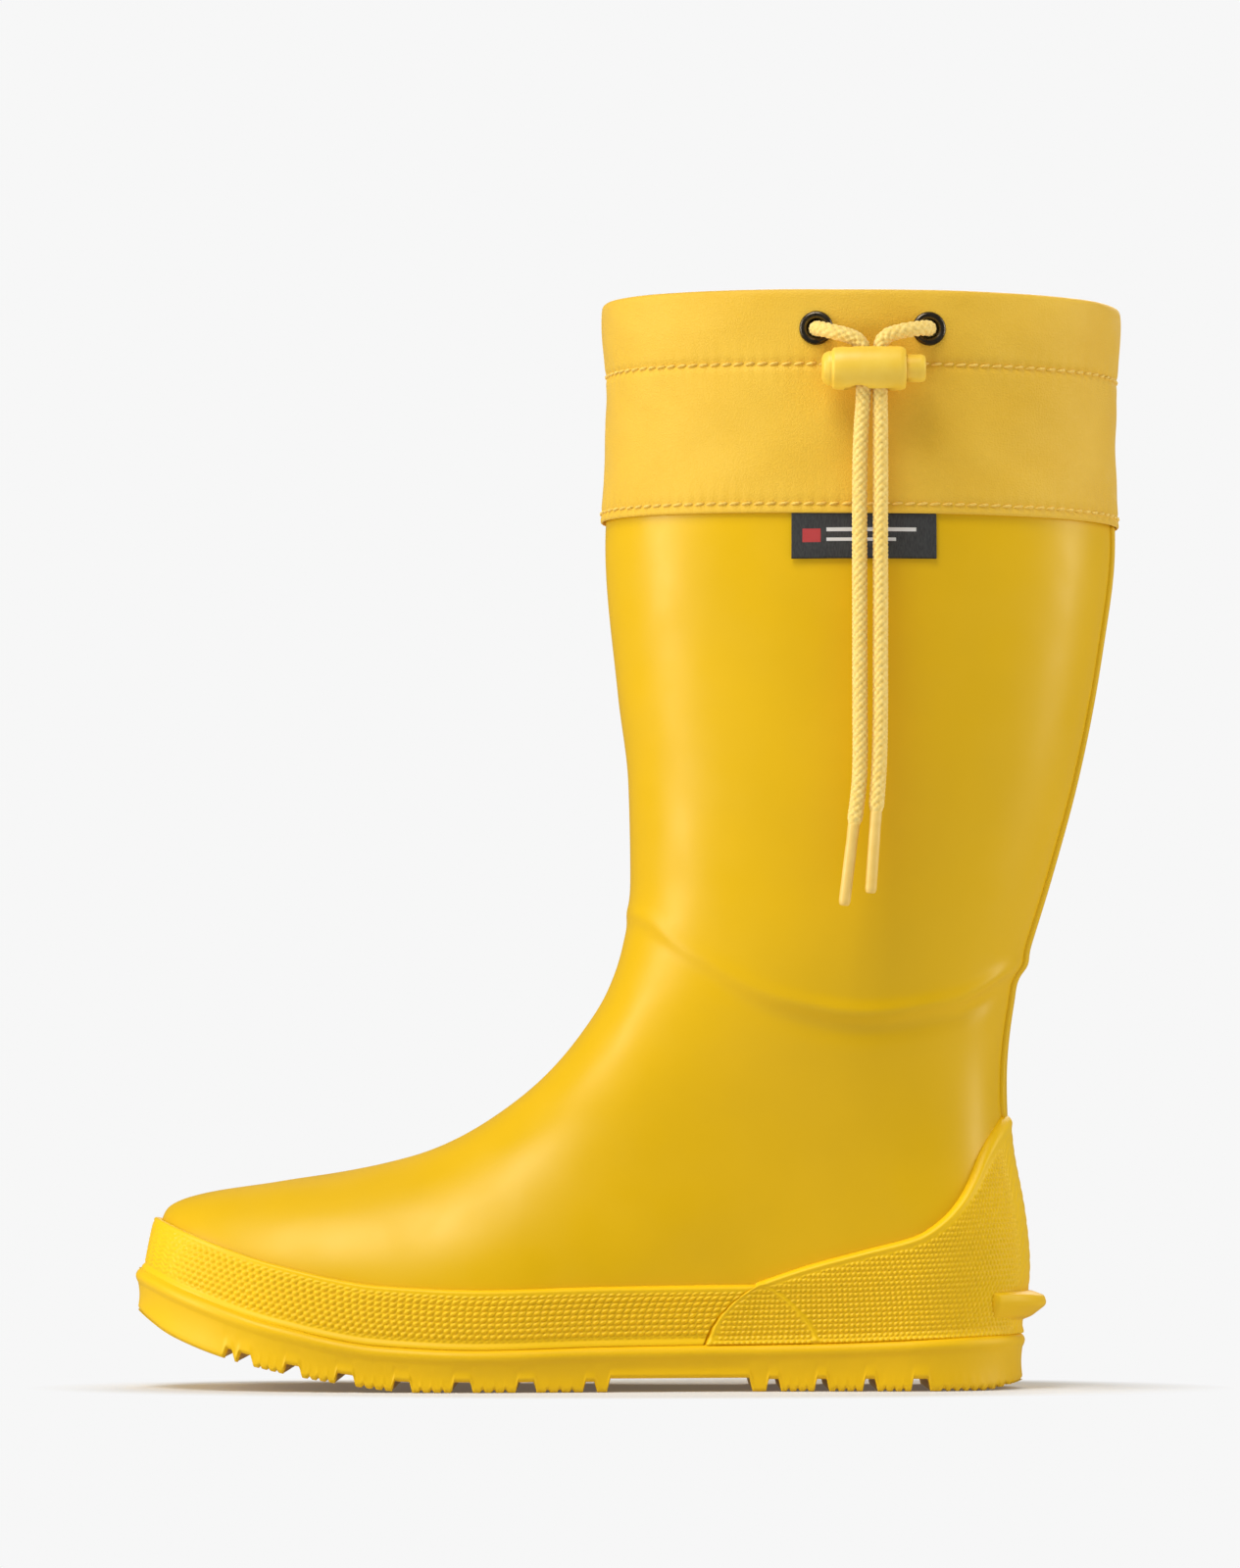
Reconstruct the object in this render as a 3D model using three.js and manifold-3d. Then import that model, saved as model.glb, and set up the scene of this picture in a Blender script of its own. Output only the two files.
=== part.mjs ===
// A calf-high rubber deck boot for the left foot, with a drawstring collar and a spring cord lock.
// Millimetres, +Z up, standing on z = 0. The toe points along -X and the outer side of the leg is -Y.
// Shapes are drawn with x counted from the toe tip; the finished group is then centred on its box.
import * as THREE from "three";
import { mergeVertices } from "three/addons/utils/BufferGeometryUtils.js";
import Module from "manifold-3d";

const wasm = await Module();
wasm.setup();

// ---------- driving dimensions ----------
const soleLength = 283; // toe tip to the back of the heel
const toeRound = 62; // length over which the toe rounds off
const drawn = { length: 283, leg: 140 }; // the outlines below are drawn for this sole; the leg starts at "leg"
// Where a drawn x lands on a sole of another length: the toe keeps its shape, the leg moves whole, and the
// foot between them stretches.
const along = (x) => {
  const extra = soleLength - drawn.length;
  if (x <= toeRound) return x;
  return x < drawn.leg ? x + (extra * (x - toeRound)) / (drawn.leg - toeRound) : x + extra;
};
const alongAll = (knots) => knots.map(([x, y]) => [along(x), y]);
const heelRound = 40; // length over which the heel rounds off
const toeSwing = 7; // how far the toe tip turns towards the other foot
const swingLength = 150; // the swing dies out this far behind the toe
const clearance = 0.3; // between pieces that touch
const skinGap = 1.0; // between the curved shell and a strip bonded on it

const shellInset = 3.8; // shell inside the edge of the outsole
const shellWall = 2.2;
const collarTop = 346.3; // the boot's whole height
const collarDepth = 71; // hem to upper edge
const collarBottom = collarTop - collarDepth;
const shellTop = collarBottom + 10.7; // height of the shell's upper edge, inside the collar
const shaftRise = 13.5; // height of the footbed line under the shaft

const liningWall = 1.0;
const liningDrop = 1.5; // lining ends this far below the shell's edge
const boardThickness = 2.0;
const boardInset = 9.4;
const insoleThickness = 5.0;
const insoleInset = 11;

const ledgeRound = 1.4; // rounded upper edge of the outsole
const tread = { front: 3.2, heel: 3.8, roof: 4.4, flare: 1.4 }; // groove depths, roof width, wall flare
const archRise = 4.3; // underside of the waist above the ground
const waist = { front: along(150.2), back: along(198) };
const frontGrooves = { last: along(144.6), pitch: 20.4, shrink: 0.97, count: 7 };
const heelGrooves = { first: along(203.6), pitch: 15.7, count: 4 };

const foxingHeight = 19;
const foxingThickness = 2.2;
const counterThickness = 2.2;
const counterPeak = 73; // height of the heel counter at the back, above the outsole
const spur = { front: along(270.5), low: 3, high: 14, side: 1.6, reach: 5.2 };
const stay = { halfWidth: 7, thickness: 1.2, bottom: 92, top: collarBottom - 1.8 };

const collarWall = 0.9;
const channelStitch = collarTop - 23.8; // height of the seam under the drawstring channel
const hemStitch = collarBottom + 3;
const threadSize = 0.7;

const cordDiameter = 4.7;
const cordSides = 8;
const tunnelDepth = cordDiameter + 2; // clear depth of the drawstring channel
const eyeletHeight = collarTop - 12.7;
const eyeletCentre = along(233.9); // where the pair stands along the boot
const eyeletSpacing = 35.4;
const eyeletHole = cordDiameter + 1.1;
const eyelet = {
  hole: eyeletHole, barrel: eyeletHole + 0.8, flange: eyeletHole + 5, lip: 1.3, washer: eyeletHole + 3.8, washerWall: 0.5,
};
const aglet = { diameter: 3.6, length: 23.5 };

const lockCentre = new THREE.Vector3(231.6, -60.9, 319.8);
const slotWidth = 2 * cordDiameter + 5; // both cords side by side, with room to slide
const lock = { length: slotWidth + 12, diameter: 14.4, bore: 9.4, slotWidth, slotDepth: cordDiameter + 0.8, endWall: 2.6 };
const plunger = { diameter: 8.8, stick: 6.3, travel: 3.0, spring: 5.6 };

const label = { width: 45.2, drop: 13.8, thickness: 0.7 };

// ---------- small maths ----------
const mix = (a, b, t) => a + (b - a) * t;
const clamp = (v, low, high) => Math.min(high, Math.max(low, v));
const ease = (v, low, high) => THREE.MathUtils.smoothstep(v, low, high);

// A smooth curve through [input, output] knots that never overshoots them.
function through(knots) {
  const slope = knots.slice(1).map(([x, y], i) => (y - knots[i][1]) / (x - knots[i][0]));
  const tangent = knots.map((_, i) => {
    if (i === 0) return slope[0];
    if (i === knots.length - 1) return slope[i - 1];
    const product = slope[i - 1] * slope[i];
    return product <= 0 ? 0 : (2 * product) / (slope[i - 1] + slope[i]);
  });
  return (x) => {
    const last = knots.length - 1;
    if (x <= knots[0][0]) return knots[0][1];
    if (x >= knots[last][0]) return knots[last][1];
    const i = knots.findIndex(([k]) => k > x) - 1;
    const width = knots[i + 1][0] - knots[i][0];
    const t = (x - knots[i][0]) / width;
    const bend = t * t * (3 - 2 * t);
    return (
      mix(knots[i][1], knots[i + 1][1], bend) +
      width * t * (1 - t) * ((1 - t) * tangent[i] - t * tangent[i + 1])
    );
  };
}

// ---------- solids from rings ----------
// Joins rings of equal length into one closed skin. Each end is closed by rungs between ring[i] and its
// partner across the ring: "tips" pairs i with n - i, "rails" pairs i with n - 1 - i, "loop" joins the ends.
function skin(rings, ends) {
  const n = rings[0].length;
  const points = rings.flat();
  const positions = points.flatMap((p) => [p.x, p.y, p.z]);
  const faces = [];
  // Each quad is split along its shorter diagonal, so that facing surfaces bend along the same lines.
  const quad = (a, b, c, d) => {
    const short = points[a].distanceTo(points[c]) < points[b].distanceTo(points[d]) + 1e-3;
    faces.push(...(short ? [a, b, c, a, c, d] : [b, c, d, b, d, a]));
  };
  const count = ends === "loop" ? rings.length : rings.length - 1;
  for (let r = 0; r < count; r++) {
    const next = ((r + 1) % rings.length) * n;
    for (let i = 0; i < n; i++) {
      const j = (i + 1) % n;
      quad(r * n + i, r * n + j, next + j, next + i);
    }
  }
  if (ends !== "loop") {
    const shift = ends === "tips" ? 0 : -1;
    const half = Math.floor((n + shift) / 2);
    for (const [base, turned] of [[0, true], [(rings.length - 1) * n, false]]) {
      for (let i = 0; i < half; i++) {
        const far = (k) => base + ((n - k + shift) % n);
        const rung = [base + i, base + i + 1, far(i + 1), far(i)];
        if (turned) rung.reverse();
        quad(...rung);
      }
    }
  }
  const geometry = new THREE.BufferGeometry();
  geometry.setAttribute("position", new THREE.Float32BufferAttribute(positions, 3));
  geometry.setIndex(faces);
  return facingOut(withoutSlivers(geometry));
}

// Merges equal corners and drops the triangles that shrink to a line or a point.
function withoutSlivers(geometry) {
  geometry.deleteAttribute("normal");
  geometry.deleteAttribute("uv");
  const merged = mergeVertices(geometry, 1e-4);
  const kept = [];
  const index = merged.index.array;
  for (let i = 0; i < index.length; i += 3) {
    const [a, b, c] = index.slice(i, i + 3);
    if (a !== b && b !== c && a !== c) kept.push(a, b, c);
  }
  merged.setIndex(kept);
  return merged;
}

function facingOut(geometry) {
  const p = geometry.getAttribute("position");
  const index = geometry.index.array;
  const corner = (i) => new THREE.Vector3().fromBufferAttribute(p, index[i]);
  let volume = 0;
  for (let i = 0; i < index.length; i += 3) {
    volume += corner(i).dot(corner(i + 1).cross(corner(i + 2)));
  }
  if (volume < 0) geometry.setIndex([...index].reverse());
  return geometry;
}

function toSolid(geometry) {
  const closed = withoutSlivers(geometry.clone());
  const mesh = new wasm.Mesh({
    numProp: 3,
    vertProperties: new Float32Array(closed.getAttribute("position").array),
    triVerts: new Uint32Array(closed.index.array),
  });
  return new wasm.Manifold(mesh);
}

function cut(geometry, ...tools) {
  const made = tools.reduce((solid, tool) => solid.subtract(toSolid(tool)), toSolid(geometry));
  const mesh = made.getMesh();
  const result = new THREE.BufferGeometry();
  result.setAttribute("position", new THREE.BufferAttribute(mesh.vertProperties, 3));
  result.setIndex(new THREE.BufferAttribute(mesh.triVerts, 1));
  return result;
}

// A round tube along a curve.
function tube(curve, diameter, sides, steps) {
  const section = new THREE.Shape();
  for (let i = 0; i < sides; i++) {
    const angle = (2 * Math.PI * i) / sides;
    const at = [(diameter / 2) * Math.cos(angle), (diameter / 2) * Math.sin(angle)];
    if (i) section.lineTo(...at);
    else section.moveTo(...at);
  }
  return new THREE.ExtrudeGeometry(section, { extrudePath: curve, steps, curveSegments: 1 });
}

// ---------- the last: the form that the whole boot is built on ----------
// Height of the outsole's upper edge: it climbs at the toe and a little at the heel.
const footbed = through(alongAll([[0, 38], [20, 29.5], [46, 20.8], [80, 14.2], [110, 12.9], [150, 13.9], [215, 14.8], [283, 17.5]]));
const walkingLine = through(alongAll([[0, 25], [13, 16.8], [36, 8.7], [63, 3.2], [92, 0], [268, 0], [283, 2.8]]));
const outerWidth = through(alongAll([[0, 44], [50, 47], [100, 51], [150, 44.5], [200, 37.5], [283, 36]]));
const innerWidth = through(alongAll([[0, 43], [45, 46.5], [85, 49], [130, 42], [175, 34.5], [225, 33.5], [283, 34]]));

// "lift" is the height above the footbed line; high up the leg it becomes a plain height.
const rise = (x, lift) => lift + mix(footbed(x), shaftRise, ease(lift, 40, 120));
const toLift = (x, z) => {
  let low = -20;
  let high = 400;
  for (let i = 0; i < 50; i++) {
    const middle = (low + high) / 2;
    if (rise(x, middle) < z) low = middle;
    else high = middle;
  }
  return low;
};

const centreLine = (x, lift) =>
  toeSwing * Math.pow(Math.max(0, 1 - x / swingLength), 2) * (1 - ease(lift, 20, 110));
const roundedEnd = (distance, length, power) =>
  Math.pow(Math.max(0, 1 - Math.pow(clamp(1 - distance / length, 0, 1), power)), 1 / 2.1);

// Half width of the sole's plan on the outer side (-1) or inner side (+1), drawn in by an inset.
function soleWidth(side, x, inset) {
  const width = (side < 0 ? outerWidth : innerWidth)(x) - inset;
  const toe = roundedEnd(x - inset, toeRound, 2.4);
  const heel = roundedEnd(soleLength - inset - x, heelRound, 2.2);
  return width * toe * heel;
}

// Side profiles of the shell as [x, height].
const frontProfile = [
  [shellInset, 36.2], [8.6, 56.5], [13.5, 59.8], [23, 62.4], [43.5, 65.5], [72.8, 70.3], [92, 75],
  [111, 84.4], [129.5, 98.6], [141.8, 112.8], [150.6, 127], [155.3, 141.2], [158, 162],
  [157.2, 193], [153.8, 221.5], [149.7, 270], [150.6, 290],
];
const backProfile = [
  [279.8, 17.3], [283.3, 38], [281.7, 56], [277.6, 79], [277, 98.6], [279.3, 122], [284.6, 141.2],
  [290.6, 160], [301.3, 198], [308.5, 236], [312.6, 270], [312.2, 290],
];
const shellFront = through(alongAll(frontProfile).map(([x, z]) => [toLift(x, z), x]));
const shellBack = through(alongAll(backProfile).map(([x, z]) => [toLift(x, z), x]));
const shaftWidth = through([[0, 34], [50, 35], [90, 37], [130, 41], [190, 47], [256, 50.7], [276, 50.5]]);
const instep = { x: along(158), lift: 148.5, fade: 57 }; // where the vamp has turned upright into the leg

// Lift of the vamp's ridge over each x: the inverse of shellFront, up to the instep.
function vampTop(x) {
  let low = -5;
  let high = instep.lift;
  for (let i = 0; i < 45; i++) {
    const middle = (low + high) / 2;
    if (shellFront(middle) < x) low = middle;
    else high = middle;
  }
  return high;
}

// Half width of the shell at x and a lift. It rounds off towards the vamp's ridge in front, where the
// section is an arch, and becomes half an ellipse in the leg; the back is always round.
function shellWidth(side, x, lift) {
  const front = shellFront(lift);
  const back = shellBack(lift);
  const reach = (back - front) / 2;
  const foot = ((side < 0 ? outerWidth : innerWidth)(x) - shellInset) * roundedEnd(x - shellInset, toeRound, 2.4);
  const width = mix(foot, shaftWidth(lift), ease(lift, 15, 115));
  const ridge = Math.pow(clamp(lift / Math.max(vampTop(x), 0.01), 0, 1), 2.2);
  const arch = ridge * (1 - ease(x, instep.x, instep.x + instep.fade));
  const oval = Math.pow(clamp((back - reach - x) / reach, 0, 1), 2);
  const ahead = 1 - mix(arch, oval, ease(lift, 70, 125));
  const heelReach = mix(38, reach, ease(lift, 30, 130));
  const behind = 1 - Math.pow(clamp((x - back + heelReach) / heelReach, 0, 1), 2.1);
  return width * Math.sqrt(Math.max(0, ahead) * Math.max(0, behind));
}

// A point of the shell as x, y and lift. The angle runs from the front (0) over the outer side to the
// back (PI) and home.
function onForm(angle, lift) {
  const front = shellFront(lift);
  const back = shellBack(lift);
  const x = (front + back) / 2 - ((back - front) / 2) * Math.cos(angle);
  const side = Math.sin(angle) >= 0 ? -1 : 1;
  return new THREE.Vector3(x, centreLine(x, lift) + side * shellWidth(side, x, lift), lift);
}

// A point moved outward from the shell, or inward when the distance is negative, as a real place.
// It never goes below the outsole's upper face.
function offShell(angle, lift, distance) {
  const step = 0.02;
  const around = onForm(angle + step, lift).sub(onForm(angle - step, lift));
  const up = onForm(angle, lift + 0.5).sub(onForm(angle, lift - 0.5));
  const normal = around.cross(up).normalize();
  const form = onForm(angle, lift).addScaledVector(normal, distance);
  return new THREE.Vector3(form.x, form.y, rise(form.x, Math.max(clearance, form.z)));
}

// The angle at which the shell has a given x, on the outer side.
function angleAt(x, lift) {
  const front = shellFront(lift);
  const back = shellBack(lift);
  return Math.acos(clamp(((front + back) / 2 - x) / ((back - front) / 2), -1, 1));
}

// ---------- the moulded and bonded rubber ----------
// Angles round the boot, close together at the toe and the heel where it turns quickly. Every piece of
// the wall is drawn at the same angles, so that its facets lie on its neighbour's.
const columns = 36;
const crowd = 0.3;
const columnAngle = (i) => {
  const even = (2 * Math.PI * i) / columns;
  return even - (crowd / 2) * Math.sin(2 * even);
};
const columnAngles = Array.from({ length: columns }, (_, i) => columnAngle(i));

// Lifts of the rings: close together where the vamp lies flat, wider up the leg.
const ringLifts = [6, 12, 19, 26, 33, 39, 44.5, 50, 55.5, 61, 67.5, 76, 87, 100, 116, 140, 180, 225];
const lifts = (bottom, top) => [bottom, ...ringLifts.filter((lift) => lift > bottom + 1 && lift < top - 1), top];
const shaftLift = shellTop - shaftRise;

const ring = (lift, distance) => columnAngles.map((angle) => offShell(angle, lift, distance));

// A boot-shaped bag: up the outside, over the edge and down the inside, with a floor.
function bag(outer, inner, bottom, floor, top) {
  const outside = lifts(bottom, top).map((lift) => ring(lift, outer));
  const inside = lifts(floor, top).map((lift) => ring(lift, inner));
  return skin([...outside, ...inside.reverse()], "tips");
}

const upperShell = () => bag(0, -shellWall, clearance, clearance + shellWall, shaftLift);

function lining() {
  const outer = -shellWall - clearance;
  const bottom = 2 * clearance + shellWall;
  return bag(outer, outer - liningWall, bottom, bottom + liningWall, shaftLift - liningDrop);
}

// ---------- the sole and what lies in it ----------
// One section of a plate that follows the sole's plan: up the outer side and down the inner side.
function soleSection(x, inset, low, high, rounding) {
  const middle = centreLine(x, 0);
  const at = (side, extra, z) => new THREE.Vector3(x, middle + side * Math.max(0.05, soleWidth(side, x, inset) - extra), z);
  return [
    new THREE.Vector3(x, middle, low),
    at(-1, rounding, low),
    at(-1, 0, low + rounding),
    at(-1, 0, high - rounding),
    at(-1, rounding, high),
    new THREE.Vector3(x, middle, high),
    at(1, rounding, high),
    at(1, 0, high - rounding),
    at(1, 0, low + rounding),
    at(1, rounding, low),
  ];
}

// x stations that crowd towards both ends, where the plan turns quickly.
const stations = (from, to, n) =>
  Array.from({ length: n + 1 }, (_, i) => mix(from, to, (1 - Math.cos((Math.PI * i) / n)) / 2));

// Centre and depth of every tread groove, from toe to heel.
function grooves() {
  const made = [];
  let centre = frontGrooves.last;
  for (let i = 0; i < frontGrooves.count; i++) {
    made.push({ centre, depth: tread.front });
    centre -= frontGrooves.pitch * Math.pow(frontGrooves.shrink, i);
  }
  for (let i = 0; i < heelGrooves.count; i++) {
    made.push({ centre: heelGrooves.first + i * heelGrooves.pitch, depth: tread.heel });
  }
  return made;
}

function outsole() {
  const cuts = grooves();
  const roof = tread.roof / 2;
  const mouth = roof + tread.flare;
  const edges = [waist.front, waist.front + tread.flare, waist.back - tread.flare, waist.back];
  for (const { centre } of cuts) edges.push(centre - mouth, centre - roof, centre + roof, centre + mouth);
  const clear = stations(0.02, soleLength - 0.02, 34).filter((x) => edges.every((edge) => Math.abs(edge - x) > 1.2));
  const carved = (x) => {
    const groove = cuts.find(({ centre }) => Math.abs(x - centre) < roof + 0.01);
    const inWaist = x > waist.front + 0.01 && x < waist.back - 0.01;
    return walkingLine(x) + (groove ? groove.depth : inWaist ? archRise : 0);
  };
  const rings = [...edges, ...clear]
    .sort((a, b) => a - b)
    .map((x) => soleSection(x, 0, carved(x), footbed(x), ledgeRound));
  return skin(rings, "tips");
}

// A flat plate lying in the shell, such as the insole board.
function plate(inset, low, thickness, rounding) {
  const rings = stations(inset + 0.05, soleLength - inset - 0.05, 22).map((x) =>
    soleSection(x, inset, rise(x, low), rise(x, low + thickness), rounding),
  );
  return skin(rings, "tips");
}

const boardGlue = 1.0;
const boardFloor = 2 * clearance + shellWall + liningWall + boardGlue;
const insoleBoard = () => plate(boardInset, boardFloor, boardThickness, 0.4);
const insole = () => plate(insoleInset, boardFloor + boardThickness + clearance, insoleThickness, 1.2);

// ---------- strips bonded round the foot ----------
// Where the heel counter's front edge stands at each lift, and its upper edge over each x.
const counterEdge = through([[0, along(178.5)], [7, along(181.8)], [14, along(188.5)], [foxingHeight + 0.5, along(197)]]);
const counterTop = through(alongAll([
  [197, foxingHeight + 0.5], [214, 24.9], [231, 29], [248, 33], [256, 38], [261, 43.5], [265, 50.5],
  [268.5, 58.5], [273, 66], [277.5, 71.5], [281, counterPeak],
]));

// Angles of the sections of a strip that is centred on the toe (0) or the heel (PI) and ends where "end"
// says at each lift. The inner ones are the wall's own columns, and the last few close on the slanted end.
function closingAngles(middle, end) {
  const shortest = Math.min(...ringLifts.slice(0, 3).map(end), end(clearance));
  const steps = columnAngles.filter((angle) => angle > 1e-6 && angle < shortest - 0.22);
  const last = steps.at(-1);
  const half = [
    ...steps.map((angle) => () => angle),
    ...[0.35, 0.7, 1].map((share) => (lift) => mix(last, end(lift), share)),
  ];
  const mirrored = half.map((angle) => (lift) => -angle(lift)).reverse();
  return [...mirrored, () => 0, ...half].map((angle) => (lift) => middle + angle(lift));
}

// A closed loop of outer and inner points at one place along a strip: lifts climb outside and return inside.
function stripSection(point, at, inner, outer) {
  return [...at.map((lift) => point(lift, outer)), ...at.map((lift) => point(lift, inner)).reverse()];
}

// The foxing runs from the counter's outer edge, round the toe, to the counter's inner edge.
function foxing() {
  const outer = skinGap + foxingThickness;
  const end = (lift) => angleAt(counterEdge(lift) - clearance, lift);
  const rows = lifts(clearance, foxingHeight);
  const rings = closingAngles(0, end).map((angle) =>
    stripSection((lift, distance) => offShell(angle(lift), lift, distance), rows, skinGap, outer),
  );
  return skin(rings, "rails");
}

function heelCounter() {
  const outer = skinGap + counterThickness;
  const low = (lift) => Math.min(lift, foxingHeight);
  const rings = closingAngles(Math.PI, (lift) => Math.PI - angleAt(counterEdge(low(lift)), lift)).map((angle, i, all) => {
    // The upper end of each section is where it meets the counter's upper edge.
    let high = counterPeak;
    for (let k = 0; k < 40; k++) high = mix(high, counterTop(onForm(angle(high), high).x), 0.5);
    if (i === 0 || i === all.length - 1) high = 1.5;
    const rows = Array.from({ length: 7 }, (_, k) => mix(clearance, high, k / 6));
    return stripSection((lift, distance) => offShell(angle(lift), lift, distance), rows, skinGap, outer);
  });
  return skin(rings, "rails");
}

// The spur to push the boot off with: a wedge round the back of the heel, deepest at the middle.
function kickSpur() {
  const steps = 16;
  const base = skinGap + counterThickness + clearance;
  const rings = Array.from({ length: steps + 1 }, (_, i) => {
    const turn = mix(-1, 1, i / steps);
    const reach = mix(spur.side, spur.reach, Math.pow(Math.cos((turn * Math.PI) / 2), 1.5));
    const end = (lift) => Math.PI - angleAt(spur.front, lift);
    const point = (lift, distance) => offShell(Math.PI + turn * end(lift), lift, distance);
    return [
      point(spur.low, base),
      point(spur.low, base + 0.4),
      point(mix(spur.low, spur.high, 0.72), base + reach),
      point(mix(spur.low, spur.high, 0.9), base + reach * 0.85),
      point(spur.high, base + 0.4),
      point(spur.high, base),
    ];
  });
  return skin(rings, "rails");
}

function backStay() {
  const steps = 14;
  const rings = Array.from({ length: steps + 1 }, (_, i) => {
    const lift = mix(stay.bottom, stay.top, i / steps) - shaftRise;
    const spread = Math.asin(stay.halfWidth / shaftWidth(lift));
    const across = [-1, -0.5, 0, 0.5, 1].map((share) => Math.PI + share * spread);
    const row = (distance) => across.map((angle) => offShell(angle, lift, distance));
    return [...row(skinGap + stay.thickness), ...row(skinGap).reverse()];
  });
  return skin(rings, "rails");
}

// ---------- the collar ----------
const collarKnots = [collarBottom, collarBottom + 8.7, collarBottom + 21.7, collarTop - 21.3, collarTop];
const upTheCollar = (values) => through(collarKnots.map((z, i) => [z, along(values[i])]));
const collarFront = upTheCollar([148.1, 148.8, 149.7, 149.7, 148.7]);
const collarBack = upTheCollar([315.1, 314.6, 314.2, 315.2, 315.7]);
const collarWidth = through([[collarBottom, 52.3], [collarKnots[2], 51.9], [collarTop, 52.5]]);

// A point at an angle round the collar, a depth inside its outer face.
function onCollar(angle, z, depth) {
  const reach = (collarBack(z) - collarFront(z)) / 2;
  const x = (collarBack(z) + collarFront(z)) / 2 - reach * Math.cos(angle);
  const y = -collarWidth(z) * Math.sin(angle);
  const normal = new THREE.Vector3(-Math.cos(angle) / reach, -Math.sin(angle) / collarWidth(z), 0).normalize();
  return new THREE.Vector3(x, y, z).addScaledVector(normal, -depth);
}

const roundCollar = (section) =>
  skin(
    columnAngles.map((angle) => section.map(([depth, z]) => onCollar(angle, z, depth))),
    "loop",
  );

// The collar's cloth turns over at the top and comes down inside to the seam, which makes the channel.
function collarCloth() {
  const deep = collarWall + tunnelDepth;
  const seamGap = collarWall + clearance;
  const slope = collarTop - 16.3; // where the inner side starts to lean out to the seam
  const section = [
    [0, collarBottom], [0, collarKnots[2]], [0, channelStitch], [0, collarTop - 3], [1.6, collarTop - 0.6], [4, collarTop],
    [6.4, collarTop - 1.2], [deep + collarWall, collarTop - 6], [deep + collarWall, slope], [seamGap + collarWall, channelStitch],
    [seamGap + collarWall, channelStitch - 4], [seamGap, channelStitch - 4], [seamGap, channelStitch],
    [deep, slope], [deep, collarTop - 6.3], [5.9, collarTop - 2.2], [4, collarTop - 1], [2.2, collarTop - 1.5],
    [collarWall, collarTop - 3.4], [collarWall, channelStitch], [collarWall, collarKnots[2]], [collarWall, collarBottom],
  ];
  const holes = [-1, 1].map((side) => {
    const hole = new THREE.CylinderGeometry(eyelet.barrel / 2 + 0.4, eyelet.barrel / 2 + 0.4, 4.6, 24);
    return hole.applyMatrix4(eyeletPlace(side));
  });
  return cut(roundCollar(section), ...holes);
}

// A seam's thread, as one line round the collar.
function thread(z) {
  const low = z - threadSize / 2;
  const high = z + threadSize / 2;
  return roundCollar([[-clearance, low], [-clearance, high], [-clearance - threadSize, high], [-clearance - threadSize, low]]);
}

// ---------- the eyelets ----------
const collarMiddle = (collarFront(eyeletHeight) + collarBack(eyeletHeight)) / 2;
const collarReach = (collarBack(eyeletHeight) - collarFront(eyeletHeight)) / 2;
const eyeletAngle = (side) =>
  Math.acos((collarMiddle - eyeletCentre - (side * eyeletSpacing) / 2) / collarReach);

// Carries +Y out of the collar at the front (-1) or rear (+1) eyelet, with the collar's face at y = 0.
function eyeletPlace(side) {
  const face = onCollar(eyeletAngle(side), eyeletHeight, 0);
  const out = onCollar(eyeletAngle(side), eyeletHeight, -1).sub(face);
  const turn = new THREE.Quaternion().setFromUnitVectors(new THREE.Vector3(0, 1, 0), out);
  return new THREE.Matrix4().compose(face, turn, new THREE.Vector3(1, 1, 1));
}

const lathe = (profile, segments) =>
  new THREE.LatheGeometry(profile.map(([r, h]) => new THREE.Vector2(r, h)), segments);

// A rolled flange outside and a barrel through the cloth.
function eyeletRing(side) {
  const hole = eyelet.hole / 2;
  const barrel = eyelet.barrel / 2;
  const flange = eyelet.flange / 2;
  const profile = [
    [hole, -2.4], [barrel, -2.4], [barrel, clearance], [flange - 0.4, clearance], [flange, 0.6],
    [flange - 0.7, clearance + eyelet.lip * 0.8], [(hole + flange) / 2, clearance + eyelet.lip],
    [hole + 0.4, clearance + eyelet.lip * 0.7], [hole, 0.4], [hole, -2.4],
  ];
  return facingOut(withoutSlivers(lathe(profile, 20).applyMatrix4(eyeletPlace(side))));
}

function eyeletWasher(side) {
  const inner = eyelet.barrel / 2 + clearance;
  const outer = eyelet.washer / 2;
  const near = -collarWall - 0.8;
  const far = near - eyelet.washerWall;
  const profile = [[inner, far], [outer, far], [outer, near], [inner, near], [inner, far]];
  return facingOut(withoutSlivers(lathe(profile, 20).applyMatrix4(eyeletPlace(side))));
}

// ---------- the drawstring ----------
const channelDepth = collarWall + clearance + 1.2 + cordDiameter / 2; // cord's middle, clear of the washers

// The run hidden in the channel: from behind one eyelet, all the way round, to behind the other.
function channelRun() {
  const past = 2.2 / collarReach;
  const from = eyeletAngle(1) - past;
  const to = eyeletAngle(-1) + 2 * Math.PI + past;
  const steps = 44;
  const points = Array.from({ length: steps + 1 }, (_, i) => onCollar(mix(from, to, i / steps), eyeletHeight, channelDepth));
  return tube(new THREE.CatmullRomCurve3(points), cordDiameter, 8, steps);
}

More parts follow.
